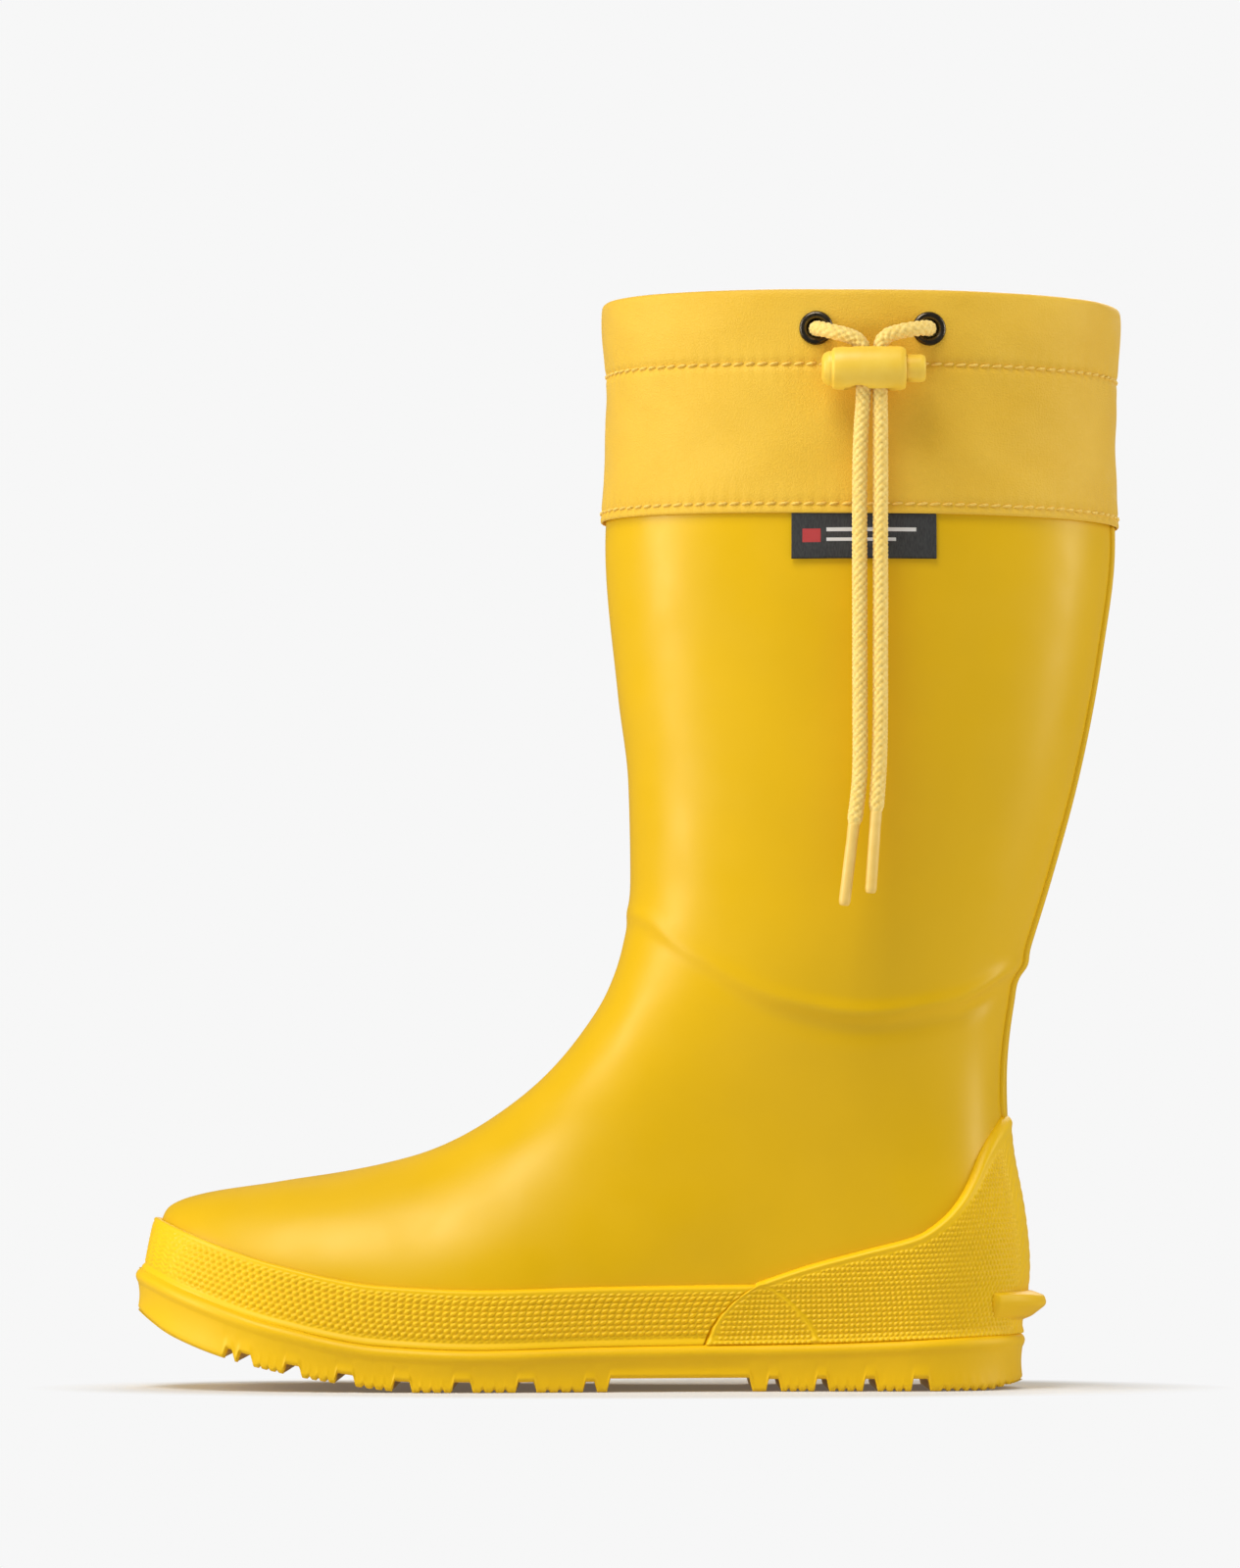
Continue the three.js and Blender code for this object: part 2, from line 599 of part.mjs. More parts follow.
// The free ends: out of the eyelet, together through the lock, and down to the tip.
// Each row is x, y, height from the eyelet to where the tip starts.
const frontRoute = [
  [216.2, -50, 333.6], [216.4, -53.4, 333.4], [218.2, -57.2, 332.6], [221.6, -60, 331.4], [225.4, -61, 330.3],
  [228.4, -61.1, 329], [230.2, -61, 326.8], [230.6, -60.9, 323.6], [230.6, -60.9, 319], [230.6, -60.9, 314],
  [230.3, -60.9, 309.5], [229.2, -60.9, 303], [227.9, -60.9, 295], [227.4, -60.9, 284], [227.3, -60.9, 268],
  [227.3, -60.9, 250], [227.3, -60.9, 230], [227.3, -60.9, 210], [227.2, -60.9, 195], [226.9, -60.9, 182],
  [226.5, -60.9, 175.2],
];
const rearRoute = [
  [251.6, -50, 333.6], [251.3, -53.4, 333.5], [249.2, -57.2, 333], [245.6, -60, 332.2], [241.6, -61, 331.3],
  [238.4, -61.1, 330.2], [236.4, -61, 328.2], [235.9, -60.9, 324.8], [235.8, -60.9, 319], [235.8, -60.9, 314],
  [235.8, -60.9, 309.5], [235.9, -60.9, 303], [235.9, -60.9, 295], [235.9, -60.9, 284], [235.8, -60.9, 268],
  [235.8, -60.9, 250], [235.7, -60.9, 230], [235.6, -60.9, 210], [235.2, -60.9, 195], [234.6, -60.9, 186],
  [234.1, -60.9, 179.2],
];
const routeCurve = (route) => new THREE.CatmullRomCurve3(route.map((p) => new THREE.Vector3(...p)));
const cordEnd = (route) => tube(routeCurve(route), cordDiameter, cordSides, 36);

// The stiff tip pressed on the end of a cord, in line with its last stretch.
function cordTip(route) {
  const end = new THREE.Vector3(...route.at(-1));
  const along = end.clone().sub(new THREE.Vector3(...route.at(-3))).normalize();
  const turn = new THREE.Quaternion().setFromUnitVectors(new THREE.Vector3(0, 1, 0), along);
  const centre = end.clone().addScaledVector(along, clearance + aglet.length / 2);
  const rod = new THREE.CylinderGeometry(aglet.diameter / 2, aglet.diameter / 2, aglet.length, 14);
  return rod.applyMatrix4(new THREE.Matrix4().compose(centre, turn, new THREE.Vector3(1, 1, 1)));
}

// ---------- the cord lock ----------
// Its axis lies along X. Local h runs from the closed end (0) to the mouth that the button comes out of.
const lockStart = lockCentre.x - lock.slotWidth / 2 - 6.9;
const alongLock = new THREE.Matrix4()
  .makeTranslation(lockStart, lockCentre.y, lockCentre.z)
  .multiply(new THREE.Matrix4().makeRotationZ(-Math.PI / 2));
const boreEnd = lock.endWall;
const rightCordEdge = rearRoute[8][0] + cordDiameter / 2 + clearance;
const leftCordEdge = frontRoute[8][0] - cordDiameter / 2 - clearance;

const block = (xMin, xMax, depth, height) => {
  const box = new THREE.BoxGeometry(xMax - xMin, depth, height);
  return box.translate((xMin + xMax) / 2, lockCentre.y, lockCentre.z);
};

function lockBarrel() {
  const r = lock.diameter / 2;
  const end = lock.length;
  const bore = lock.bore / 2;
  const profile = [
    [0, 0], [4.4, 0], [5.3, 0.8], [5.6, 2.6], [6.4, 3.1], [6.8, 6], [r, 13], [r, 18], [6.9, end - 1.2], [6.3, end],
    [bore, end], [bore, boreEnd], [0, boreEnd],
  ];
  const slot = block(lockCentre.x - lock.slotWidth / 2, lockCentre.x + lock.slotWidth / 2, lock.slotDepth, 2 * lock.diameter);
  return cut(facingOut(withoutSlivers(lathe(profile, 24).applyMatrix4(alongLock))), slot);
}

// The window in the plunger grips the cords against the barrel; pressing the button lines the two up.
function lockPlunger() {
  const r = plunger.diameter / 2;
  const start = boreEnd + plunger.spring;
  const end = lock.length + plunger.stick;
  const profile = [
    [0, start], [r, start], [r, end - 1], [r - 0.9, end], [0, end],
  ];
  const window = block(leftCordEdge, rightCordEdge + plunger.travel, lock.slotDepth, 2 * lock.diameter);
  return cut(facingOut(withoutSlivers(lathe(profile, 20).applyMatrix4(alongLock))), window);
}

function lockSpring() {
  const turns = 4;
  const wire = 0.7;
  const from = boreEnd + clearance + wire / 2;
  const to = boreEnd + plunger.spring - clearance - wire / 2;
  const steps = turns * 12;
  const points = Array.from({ length: steps + 1 }, (_, i) => {
    const angle = (2 * Math.PI * turns * i) / steps;
    return new THREE.Vector3(3.1 * Math.cos(angle), mix(from, to, i / steps), 3.1 * Math.sin(angle));
  });
  return tube(new THREE.CatmullRomCurve3(points), wire, 6, steps).applyMatrix4(alongLock);
}

// ---------- the woven label ----------
// A short flap that hangs from under the collar's hem against the shell.
function wovenLabel() {
  const centre = (collarFront(collarBottom) + collarBack(collarBottom)) / 2 - 0.5;
  const steps = 6;
  const rings = Array.from({ length: steps + 1 }, (_, i) => {
    const x = centre + mix(-0.5, 0.5, i / steps) * label.width;
    const rows = [collarBottom - clearance, collarBottom - label.drop];
    const at = (z, distance) => {
      const lift = toLift(x, z);
      return offShell(angleAt(x, lift), lift, distance);
    };
    return [
      ...rows.map((z) => at(z, clearance + label.thickness)),
      ...rows.reverse().map((z) => at(z, clearance)),
    ];
  });
  return skin(rings, "rails");
}

// ---------- finishes and assembly ----------
const finish = (color, roughness, metalness = 0) => new THREE.MeshStandardMaterial({ color, roughness, metalness });
const rubber = finish(0xe3b40f, 0.5);
const soleRubber = finish(0xdcae14, 0.6);
const texturedRubber = finish(0xdeb11a, 0.65);
const cloth = finish(0xeebc38, 0.6);
const knit = finish(0xd8d3c4, 0.9);
const foam = finish(0x4b4b4d, 0.9);
const board = finish(0xb79a6a, 0.85);
const threadYellow = finish(0xe9bd45, 0.7);
const gunmetal = finish(0x4a4640, 0.3, 1);
const cordYellow = finish(0xf8d678, 0.85);
const tipPlastic = finish(0xf3cd80, 0.4);
const lockPlastic = finish(0xf6cd4a, 0.45);
const springSteel = finish(0xb8babd, 0.3, 1);
const labelBlack = finish(0x26272a, 0.8);

const piece = (name, geometry, material) => {
  const mesh = new THREE.Mesh(geometry, material);
  mesh.name = name;
  return mesh;
};

const boot = new THREE.Group();
boot.add(
  piece("outsole", outsole(), soleRubber),
  piece("upper_shell", upperShell(), rubber),
  piece("lining", lining(), knit),
  piece("insole_board", insoleBoard(), board),
  piece("insole", insole(), foam),
  piece("foxing_band", foxing(), texturedRubber),
  piece("heel_counter", heelCounter(), texturedRubber),
  piece("kick_spur", kickSpur(), soleRubber),
  piece("back_stay", backStay(), rubber),
  piece("collar", collarCloth(), cloth),
  piece("channel_stitching", thread(channelStitch), threadYellow),
  piece("hem_stitching", thread(hemStitch), threadYellow),
  piece("front_eyelet", eyeletRing(-1), gunmetal),
  piece("rear_eyelet", eyeletRing(1), gunmetal),
  piece("front_eyelet_washer", eyeletWasher(-1), gunmetal),
  piece("rear_eyelet_washer", eyeletWasher(1), gunmetal),
  piece("drawstring_channel_run", channelRun(), cordYellow),
  piece("woven_label", wovenLabel(), labelBlack),
);

const drawstring = new THREE.Group();
drawstring.add(
  piece("drawstring_front_end", cordEnd(frontRoute), cordYellow),
  piece("drawstring_rear_end", cordEnd(rearRoute), cordYellow),
  piece("front_cord_tip", cordTip(frontRoute), tipPlastic),
  piece("rear_cord_tip", cordTip(rearRoute), tipPlastic),
  piece("lock_barrel", lockBarrel(), lockPlastic),
  piece("lock_button", lockPlunger(), lockPlastic),
  piece("lock_spring", lockSpring(), springSteel),
);

// Centre the boot itself, without its drawstring, on the origin.
const box = new THREE.Box3().setFromObject(boot);
const centre = box.getCenter(new THREE.Vector3());
const whole = new THREE.Group();
whole.add(boot, drawstring);
whole.position.set(-centre.x, -centre.y, 0);

export default whole;
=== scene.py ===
# %% [markdown]
# # A rubber deck boot
# A deck boot is a moulded rubber boot: a foot and a leg in one skin, bands of pebbled rubber round the
# foot, a lugged sole, and at the top a soft cloth collar that a drawstring closes. This lesson builds
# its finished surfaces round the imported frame. All shapes are grids of points that formulas work out,
# because a boot has hardly a straight line, and a formula can be tuned where a hand-pushed mesh can't.

import bmesh
import bpy
import numpy as np
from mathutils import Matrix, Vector


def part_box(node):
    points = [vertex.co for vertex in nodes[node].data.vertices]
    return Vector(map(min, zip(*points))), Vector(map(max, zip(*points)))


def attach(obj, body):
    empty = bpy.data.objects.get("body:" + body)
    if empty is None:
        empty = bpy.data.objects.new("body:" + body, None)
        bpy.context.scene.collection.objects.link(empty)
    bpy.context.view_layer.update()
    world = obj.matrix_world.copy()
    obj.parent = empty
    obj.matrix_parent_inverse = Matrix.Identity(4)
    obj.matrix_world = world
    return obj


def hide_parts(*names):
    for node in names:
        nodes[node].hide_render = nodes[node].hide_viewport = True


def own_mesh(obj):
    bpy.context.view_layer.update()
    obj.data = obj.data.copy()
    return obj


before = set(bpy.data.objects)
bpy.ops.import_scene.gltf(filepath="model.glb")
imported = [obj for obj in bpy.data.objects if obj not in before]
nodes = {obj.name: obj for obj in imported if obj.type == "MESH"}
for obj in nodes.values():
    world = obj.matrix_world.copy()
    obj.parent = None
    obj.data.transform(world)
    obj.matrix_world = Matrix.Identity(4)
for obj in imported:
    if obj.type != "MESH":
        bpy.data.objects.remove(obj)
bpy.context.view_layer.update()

# %% [markdown]
# ## The drawing's own frame
# A boot is drawn in millimetres from the tip of the toe, as a last maker does. The frame gives where
# that tip stands, and a function carries drawn points to metres in the frame.

# %% Millimetres from the toe tip
MM = 0.001
sole_low, sole_high = (np.array(corner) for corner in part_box("outsole"))
collar_low, collar_high = (np.array(corner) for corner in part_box("collar"))
TOE_X = sole_low[0]
MIDDLE_Y = (collar_low[1] + collar_high[1]) / 2
SOLE_LENGTH = (sole_high[0] - sole_low[0]) / MM
COLLAR_BOTTOM, COLLAR_TOP = collar_low[2] / MM, collar_high[2] / MM


def to_frame(x, y, z):
    """Drawn millimetres to metres in the frame: the origin moves from the toe tip to the frame's."""
    x, y, z = np.broadcast_arrays(x, y, z)
    return np.stack((x * MM + TOE_X, y * MM + MIDDLE_Y, z * MM), axis=-1)


def placed(points):
    """Drawn points, with x, y and z along their last axis, in the frame."""
    return to_frame(*np.moveaxis(points, -1, 0))


print(f"sole {SOLE_LENGTH:.1f} mm, collar from {COLLAR_BOTTOM:.1f} to {COLLAR_TOP:.1f} mm")

# %% [markdown]
# ## Grids into meshes
# Each new piece is a grid of points. A grid can close on itself in either direction, and where a row
# shrinks to a point or a line its doubled vertices are merged, so that every piece is a closed skin.

# %% Mesh builders
MERGE, FINE_MERGE = 0.00001, 0.000002


def grid_faces(rows, columns, wrap_rows, wrap_columns):
    """Quads between neighbouring grid points. A wrapped direction also joins its last line to its first."""
    r = np.arange(rows if wrap_rows else rows - 1)[:, None]
    c = np.arange(columns if wrap_columns else columns - 1)[None, :]
    right, up = (c + 1) % columns, (r + 1) % rows
    corners = (r * columns + c, r * columns + right, up * columns + right, up * columns + c)
    quads = np.stack([np.broadcast_to(corner, (r.size, c.size)) for corner in corners], axis=-1)
    return quads.reshape(-1, 4)


def mesh_piece(name, points, faces, uv=None):
    """Puts points and quads into a new object at the origin, with one UV pair for each point if given."""
    mesh = bpy.data.meshes.new(name)
    mesh.from_pydata(np.reshape(points, (-1, 3)).tolist(), [], faces.tolist())
    if uv is not None:
        layer = mesh.uv_layers.new(name="UVMap")
        loops = np.empty(len(mesh.loops), int)
        mesh.loops.foreach_get("vertex_index", loops)
        layer.data.foreach_set("uv", np.reshape(uv, (-1, 2))[loops].astype(np.float32).ravel())
    mesh.shade_smooth()
    piece = bpy.data.objects.new(name, mesh)
    bpy.context.scene.collection.objects.link(piece)
    return piece


def tidy_skin(piece, distance=MERGE):
    """Merges doubled vertices, drops faces without area, fills gaps and turns all faces outwards."""
    work = bmesh.new()
    work.from_mesh(piece.data)
    bmesh.ops.remove_doubles(work, verts=work.verts, dist=distance)
    bmesh.ops.dissolve_degenerate(work, edges=work.edges, dist=distance / 10)
    gaps = [edge for edge in work.edges if len(edge.link_faces) == 1]
    if gaps:
        bmesh.ops.holes_fill(work, edges=gaps, sides=0)
    bmesh.ops.recalc_face_normals(work, faces=work.faces)
    work.to_mesh(piece.data)
    open_edges = sum(len(edge.link_faces) != 2 for edge in work.edges)
    triangles = sum(len(face.verts) - 2 for face in work.faces)
    work.free()
    piece.data.shade_smooth()
    print(f"{piece.name}: {triangles} triangles, {open_edges} open edges")
    return piece


def close_ends(piece):
    """Fills the open ends of a strip with one face each, and tidies it with a finer merge."""
    work = bmesh.new()
    work.from_mesh(piece.data)
    bmesh.ops.holes_fill(work, edges=[edge for edge in work.edges if edge.is_boundary], sides=0)
    work.to_mesh(piece.data)
    work.free()
    return tidy_skin(piece, FINE_MERGE)


def grid_piece(name, points, wrap_rows=False, wrap_columns=False):
    """One grid as one closed skin."""
    return tidy_skin(mesh_piece(name, points, grid_faces(*points.shape[:2], wrap_rows, wrap_columns)))


# %% [markdown]
# ## Curves and easing
# The boot's outlines pass through a few known points. A Hermite curve whose slopes are the harmonic
# mean of its neighbours never overshoots them, so a smooth line stays as tame as the points are.

# %% Smooth curves
def through(knots):
    """A curve y(x) through the knots: cubic Hermite pieces, with harmonic-mean slopes, flat at extremes."""
    xs, ys = np.array(knots, float).T
    slopes = np.diff(ys) / np.diff(xs)
    product = slopes[:-1] * slopes[1:]
    total = np.where(product > 0, slopes[:-1] + slopes[1:], 1)
    tangents = np.concatenate((slopes[:1], np.where(product > 0, 2 * product / total, 0), slopes[-1:]))

    def curve(x):
        x = np.clip(x, xs[0], xs[-1])
        i = np.clip(np.searchsorted(xs, x, side="right") - 1, 0, len(xs) - 2)
        width = xs[i + 1] - xs[i]
        t = (x - xs[i]) / width
        blend = t * t * (3 - 2 * t)
        bow = width * t * (1 - t) * ((1 - t) * tangents[i] - t * tangents[i + 1])
        return ys[i] * (1 - blend) + ys[i + 1] * blend + bow

    return curve


def ease(x, low, high):
    """0 below low, 1 above high, and a smooth step between."""
    t = np.clip((x - low) / (high - low), 0, 1)
    return t * t * (3 - 2 * t)


def hump(x, centre, width):
    """A smooth bump of height 1 at the centre: the Gaussian bell."""
    return np.exp(-(((x - centre) / width) ** 2))


def blurred(values, step, radius):
    """A table of values averaged under a Gaussian window, to take the last corners out of an outline."""
    reach = int(3 * radius / step)
    window = np.exp(-0.5 * (np.arange(-reach, reach + 1) * step / radius) ** 2)
    padded = np.pad(values, reach, mode="edge")
    return np.convolve(padded, window / window.sum(), mode="valid")


# %% [markdown]
# ## The last
# The last is the form that the boot is moulded on, and every piece here is an offset of it. Its points
# have an angle round the leg, from the front over the outer side to the back, and a lift above the
# footbed. Low down a section is the sole's plan, over the toes it is an arch under the vamp's ridge,
# and in the leg it is an oval; the formula slides from one to the next.

# %% The outlines of the last
footbed = through([
    (0, 38), (20, 29.5), (46, 20.8), (80, 14.2), (110, 12.9), (150, 13.9), (215, 14.8), (283, 17.5),
])
walking_line = through([(0, 25), (13, 16.8), (36, 8.7), (63, 3.2), (92, 0), (268, 0), (283, 2.8)])
outer_width = through([(0, 44), (50, 47), (100, 51), (150, 44.5), (200, 37.5), (283, 36)])
inner_width = through([(0, 43), (45, 46.5), (85, 49), (130, 42), (175, 34.5), (225, 33.5), (283, 34)])
TOE_ROUND, HEEL_ROUND, HEEL_REACH, TOE_SWING, SWING_LENGTH = 62, 40, 38, 7, 150
TOE_POWER, HEEL_POWER, OVAL_POWER = 2.4, 2.2, 2.1
SHELL_INSET, SHAFT_RISE = 3.8, 13.5
INSTEP_X, INSTEP_LIFT, INSTEP_FADE = 158, 148.5, 57
# The lifts between which the foot's formula gives way to the leg's: for the height, the swing of the
# middle, the width, the arch and the heel.
RISE_TURN, SWING_TURN, WIDTH_TURN = (40, 120), (20, 110), (15, 115)
ARCH_TURN, HEEL_TURN = (70, 125), (30, 130)


def rise(x, lift):
    """Height of a lift over x: above the footbed low down, and a plain height up the leg."""
    high = ease(lift, *RISE_TURN)
    return lift + footbed(x) * (1 - high) + SHAFT_RISE * high


def to_lift(x, z):
    """The lift whose height over x is z, found in a table, since height grows with lift."""
    table = np.arange(-20, 400, 0.25)
    return float(np.interp(z, rise(x, table), table))


FRONT_PROFILE = [
    (3.8, 36.2), (8.6, 56.5), (13.5, 59.8), (23, 62.4), (43.5, 65.5), (72.8, 70.3), (92, 75), (111, 84.4),
    (129.5, 98.6), (141.8, 112.8), (150.6, 127), (155.3, 141.2), (158, 162), (157.2, 193), (153.8, 221.5),
    (149.7, 270), (150.6, 290),
]
BACK_PROFILE = [
    (279.8, 17.3), (283.3, 38), (281.7, 56), (277.6, 79), (277, 98.6), (279.3, 122), (284.6, 141.2),
    (290.6, 160), (301.3, 198), (308.5, 236), (312.6, 270), (312.2, 290),
]
LIFT_STEP = 0.1
LIFTS = np.arange(-12, 330, LIFT_STEP)


def profile_table(profile, radius):
    """The profile's x for each lift in LIFTS, with its corners eased."""
    curve = through([(to_lift(x, z), x) for x, z in profile])
    return blurred(curve(LIFTS), LIFT_STEP, radius)


front_table = profile_table(FRONT_PROFILE, 1.6)
back_table = profile_table(BACK_PROFILE, 5)
leg_width = through([(0, 34), (50, 35), (90, 37), (130, 41), (190, 47), (256, 50.7), (276, 50.5)])
width_table = blurred(leg_width(LIFTS), LIFT_STEP, 6)
RISING = LIFTS <= INSTEP_LIFT


def shell_front(lift):
    """The x of the boot's front outline at a lift."""
    return np.interp(lift, LIFTS, front_table)


def shell_back(lift):
    """The x of its back outline."""
    return np.interp(lift, LIFTS, back_table)


def shaft_width(lift):
    """Half the leg's width at a lift."""
    return np.interp(lift, LIFTS, width_table)


def vamp_top(x):
    """Lift of the vamp's ridge over x: the front outline read the other way round."""
    return np.interp(x, front_table[RISING], LIFTS[RISING])


print(f"leg {2 * float(shaft_width(272)):.0f} mm wide, vamp {float(vamp_top(90)):.0f} mm over the footbed")


# %% Sections of the last
def middle_line(x, lift):
    """How far the foot's middle swings to the inner side: a parabola from the toe that fades up the leg."""
    return TOE_SWING * np.maximum(0, 1 - x / SWING_LENGTH) ** 2 * (1 - ease(lift, *SWING_TURN))


def rounded_end(distance, length, power):
    """Falls from 1 to 0 over the last stretch before an end, as a superellipse does."""
    return np.maximum(0, 1 - np.clip(1 - distance / length, 0, 1) ** power) ** (1 / OVAL_POWER)


def sole_width(side, x, inset):
    """Half width of the sole's plan on one side, drawn in by an inset."""
    width = np.where(side < 0, outer_width(x), inner_width(x)) - inset
    toe = rounded_end(x - inset, TOE_ROUND, TOE_POWER)
    heel = rounded_end(SOLE_LENGTH - inset - x, HEEL_ROUND, HEEL_POWER)
    return width * toe * heel


def shell_width(side, x, lift):
    """Half width of the last: plan width below, leg width above, times an arch or an oval in front and
    a round heel behind."""
    front, back = shell_front(lift), shell_back(lift)
    reach = (back - front) / 2
    plan = np.where(side < 0, outer_width(x), inner_width(x)) - SHELL_INSET
    foot = plan * rounded_end(x - SHELL_INSET, TOE_ROUND, TOE_POWER)
    climb = ease(lift, *WIDTH_TURN)
    width = foot * (1 - climb) + shaft_width(lift) * climb
    ridge = np.clip(lift / np.maximum(vamp_top(x), 0.01), 0, 1) ** 2.2
    arch = ridge * (1 - ease(x, INSTEP_X, INSTEP_X + INSTEP_FADE))
    oval = np.clip((back - reach - x) / reach, 0, 1) ** 2
    turn = ease(lift, *ARCH_TURN)
    ahead = 1 - (arch * (1 - turn) + oval * turn)
    leg = ease(lift, *HEEL_TURN)
    heel_reach = HEEL_REACH * (1 - leg) + reach * leg
    behind = 1 - np.clip((x - back + heel_reach) / heel_reach, 0, 1) ** OVAL_POWER
    return width * np.sqrt(np.maximum(0, ahead) * np.maximum(0, behind))


def on_last(angle, lift):
    """The last's point at an angle and a lift, as x, y and lift."""
    angle, lift = np.broadcast_arrays(angle, lift)
    front, back = shell_front(lift), shell_back(lift)
    x = (front + back) / 2 - (back - front) / 2 * np.cos(angle)
    side = np.where(np.sin(angle) >= 0, -1, 1)
    return np.stack((x, middle_line(x, lift) + side * shell_width(side, x, lift), lift), axis=-1)


def last_normal(angle, lift):
    """Outward normal in the space of x, y and lift: the cross product of the two grid directions."""
    around = on_last(angle + 0.02, lift) - on_last(angle - 0.02, lift)
    up = on_last(angle, lift + 0.5) - on_last(angle, lift - 0.5)
    normal = np.cross(around, up)
    return normal / np.maximum(np.linalg.norm(normal, axis=-1, keepdims=True), 1e-9)


def off_last(angle, lift, distance):
    """The last's point moved outward by a distance, in drawn millimetres."""
    angle, lift, distance = np.broadcast_arrays(angle, lift, distance)
    form = on_last(angle, lift) + last_normal(angle, lift) * distance[..., None]
    height = rise(form[..., 0], np.maximum(0.1, form[..., 2]))
    return form[..., 0], form[..., 1], height


def skin_points(angle, lift, distance):
    """The same points as one array, with x, y and z along its last axis."""
    return np.stack(off_last(angle, lift, distance), axis=-1)


def full_turn(count):
    """Even angles once round, without the last one, which would repeat the first."""
    return np.linspace(0, 2 * np.pi, count, endpoint=False)


def even_angles(count, crowd=0.3):
    """Angles round the boot, closer together at the toe and the heel."""
    even = full_turn(count)
    return even - crowd / 2 * np.sin(2 * even)


def angle_at(x, lift):
    """The angle at which the last has a given x, on the outer side."""
    front, back = shell_front(lift), shell_back(lift)
    return np.arccos(np.clip(((front + back) / 2 - x) / ((back - front) / 2), -1, 1))


toe = off_last(0.0, 10.0, 0.0)
print(f"at lift 10 the toe stands at x {float(toe[0]):.1f}, z {float(toe[2]):.1f} mm")

# %% [markdown]
# ## Camera
# A long lens two metres away and low, as for a catalogue view. It looks up by a few degrees to the
# middle of the picture, too little for the leg's outline to lean.

# %% Camera
VIEW_DISTANCE, VIEW_HEIGHT = 2.0, 0.072
PICTURE_HEIGHT, PICTURE_X, PICTURE_Z = 0.504, -0.0036, 0.1932
aim = Vector((PICTURE_X, 0, PICTURE_Z))
stand = Vector((PICTURE_X, -VIEW_DISTANCE, VIEW_HEIGHT))
camera_data = bpy.data.cameras.new("camera")
camera_data.lens = camera_data.sensor_width * (aim - stand).length / PICTURE_HEIGHT
camera = bpy.data.objects.new("camera", camera_data)
camera.location = stand
camera.rotation_euler = (aim - stand).to_track_quat("-Z", "Y").to_euler()
bpy.context.scene.collection.objects.link(camera)
bpy.context.scene.camera = camera
print(f"lens {camera_data.lens:.0f} mm at {stand.length:.2f} m")

# %% [markdown]
# ## The drawstring's two ends
# Each end comes out of an eyelet, turns down into the lock beside the other one, and hangs to its tip.
# The rear route keeps to the frame's own points. The front one does so at the eyelet and hangs up to
# 2 mm nearer the rear one below the lock, so that the sliding lock clears it.

# %% Routes of the cords
CORD_DIAMETER, CORD_RINGS, CORD_SIDES = 4.7, 680, 44
# How deep the strands' roots lie, their height, and the share of the radius that the tip's grip leaves.
STRAND_SINK, STRAND_ROOT, STRAND_HEIGHT, GRIPPED = 0.45, 0.3, 0.85, 0.82
FRONT_ROUTE = [
    (216.2, -50, 333.6), (216.4, -53.4, 333.4), (218.2, -57.2, 332.6), (221.6, -60, 331.4),
    (225.4, -61, 330.3), (228.4, -61.1, 329), (230.2, -61, 326.8), (230.6, -60.9, 323.6),
    (230.6, -60.9, 319), (230.6, -60.9, 314), (230.5, -60.9, 309.5), (230.0, -60.9, 303),
    (229.6, -60.9, 295), (229.4, -60.9, 284), (229.3, -60.9, 268), (229.3, -60.9, 250),
    (229.3, -60.9, 230), (229.3, -60.9, 212), (229.3, -60.9, 199), (229.1, -60.9, 191.5),
    (228.3, -60.9, 183.5), (227.1, -60.9, 175.2),
]
REAR_ROUTE = [
    (251.6, -50, 333.6), (251.3, -53.4, 333.5), (249.2, -57.2, 333), (245.6, -60, 332.2),
    (241.6, -61, 331.3), (238.4, -61.1, 330.2), (236.4, -61, 328.2), (235.9, -60.9, 324.8),
    (235.8, -60.9, 319), (235.8, -60.9, 314), (235.8, -60.9, 309.5), (235.9, -60.9, 303),
    (235.9, -60.9, 295), (235.9, -60.9, 284), (235.8, -60.9, 268), (235.8, -60.9, 250),
    (235.7, -60.9, 230), (235.6, -60.9, 210), (235.2, -60.9, 195), (234.6, -60.9, 186),
    (234.1, -60.9, 179.2),
]


def along_route(route, count):
    """Evenly spaced points on a smooth curve through the route, and their distances along it."""
    knots = np.array(route, float)
    chord = np.concatenate(([0], np.cumsum(np.linalg.norm(np.diff(knots, axis=0), axis=1))))
    slopes = np.gradient(knots, chord, axis=0)
    fine = np.linspace(0, chord[-1], 4000)
    i = np.clip(np.searchsorted(chord, fine, side="right") - 1, 0, len(chord) - 2)
    width = (chord[i + 1] - chord[i])[:, None]
    t = (fine[:, None] - chord[i][:, None]) / width
    curve = (
        knots[i] * (1 + 2 * t) * (1 - t) ** 2 + knots[i + 1] * t * t * (3 - 2 * t)
        + width * (slopes[i] * t * (1 - t) ** 2 - slopes[i + 1] * t * t * (1 - t))
    )
    length = np.concatenate(([0], np.cumsum(np.linalg.norm(np.diff(curve, axis=0), axis=1))))
    distance = np.linspace(0, length[-1], count)
    return np.stack([np.interp(distance, length, curve[:, k]) for k in range(3)], axis=1), distance


def frames_along(points):
    """Two directions across a curve at each point, carried along it without twisting."""
    tangents = np.gradient(points, axis=0)
    tangents /= np.linalg.norm(tangents, axis=1, keepdims=True)
    across = np.empty_like(points)
    side = np.cross(tangents[0], (0, 0, 1.0))
    for i, tangent in enumerate(tangents):
        side = side - tangent * side.dot(tangent)
        side = side / np.linalg.norm(side)
        across[i] = side
    return tangents, across, np.cross(tangents, across)


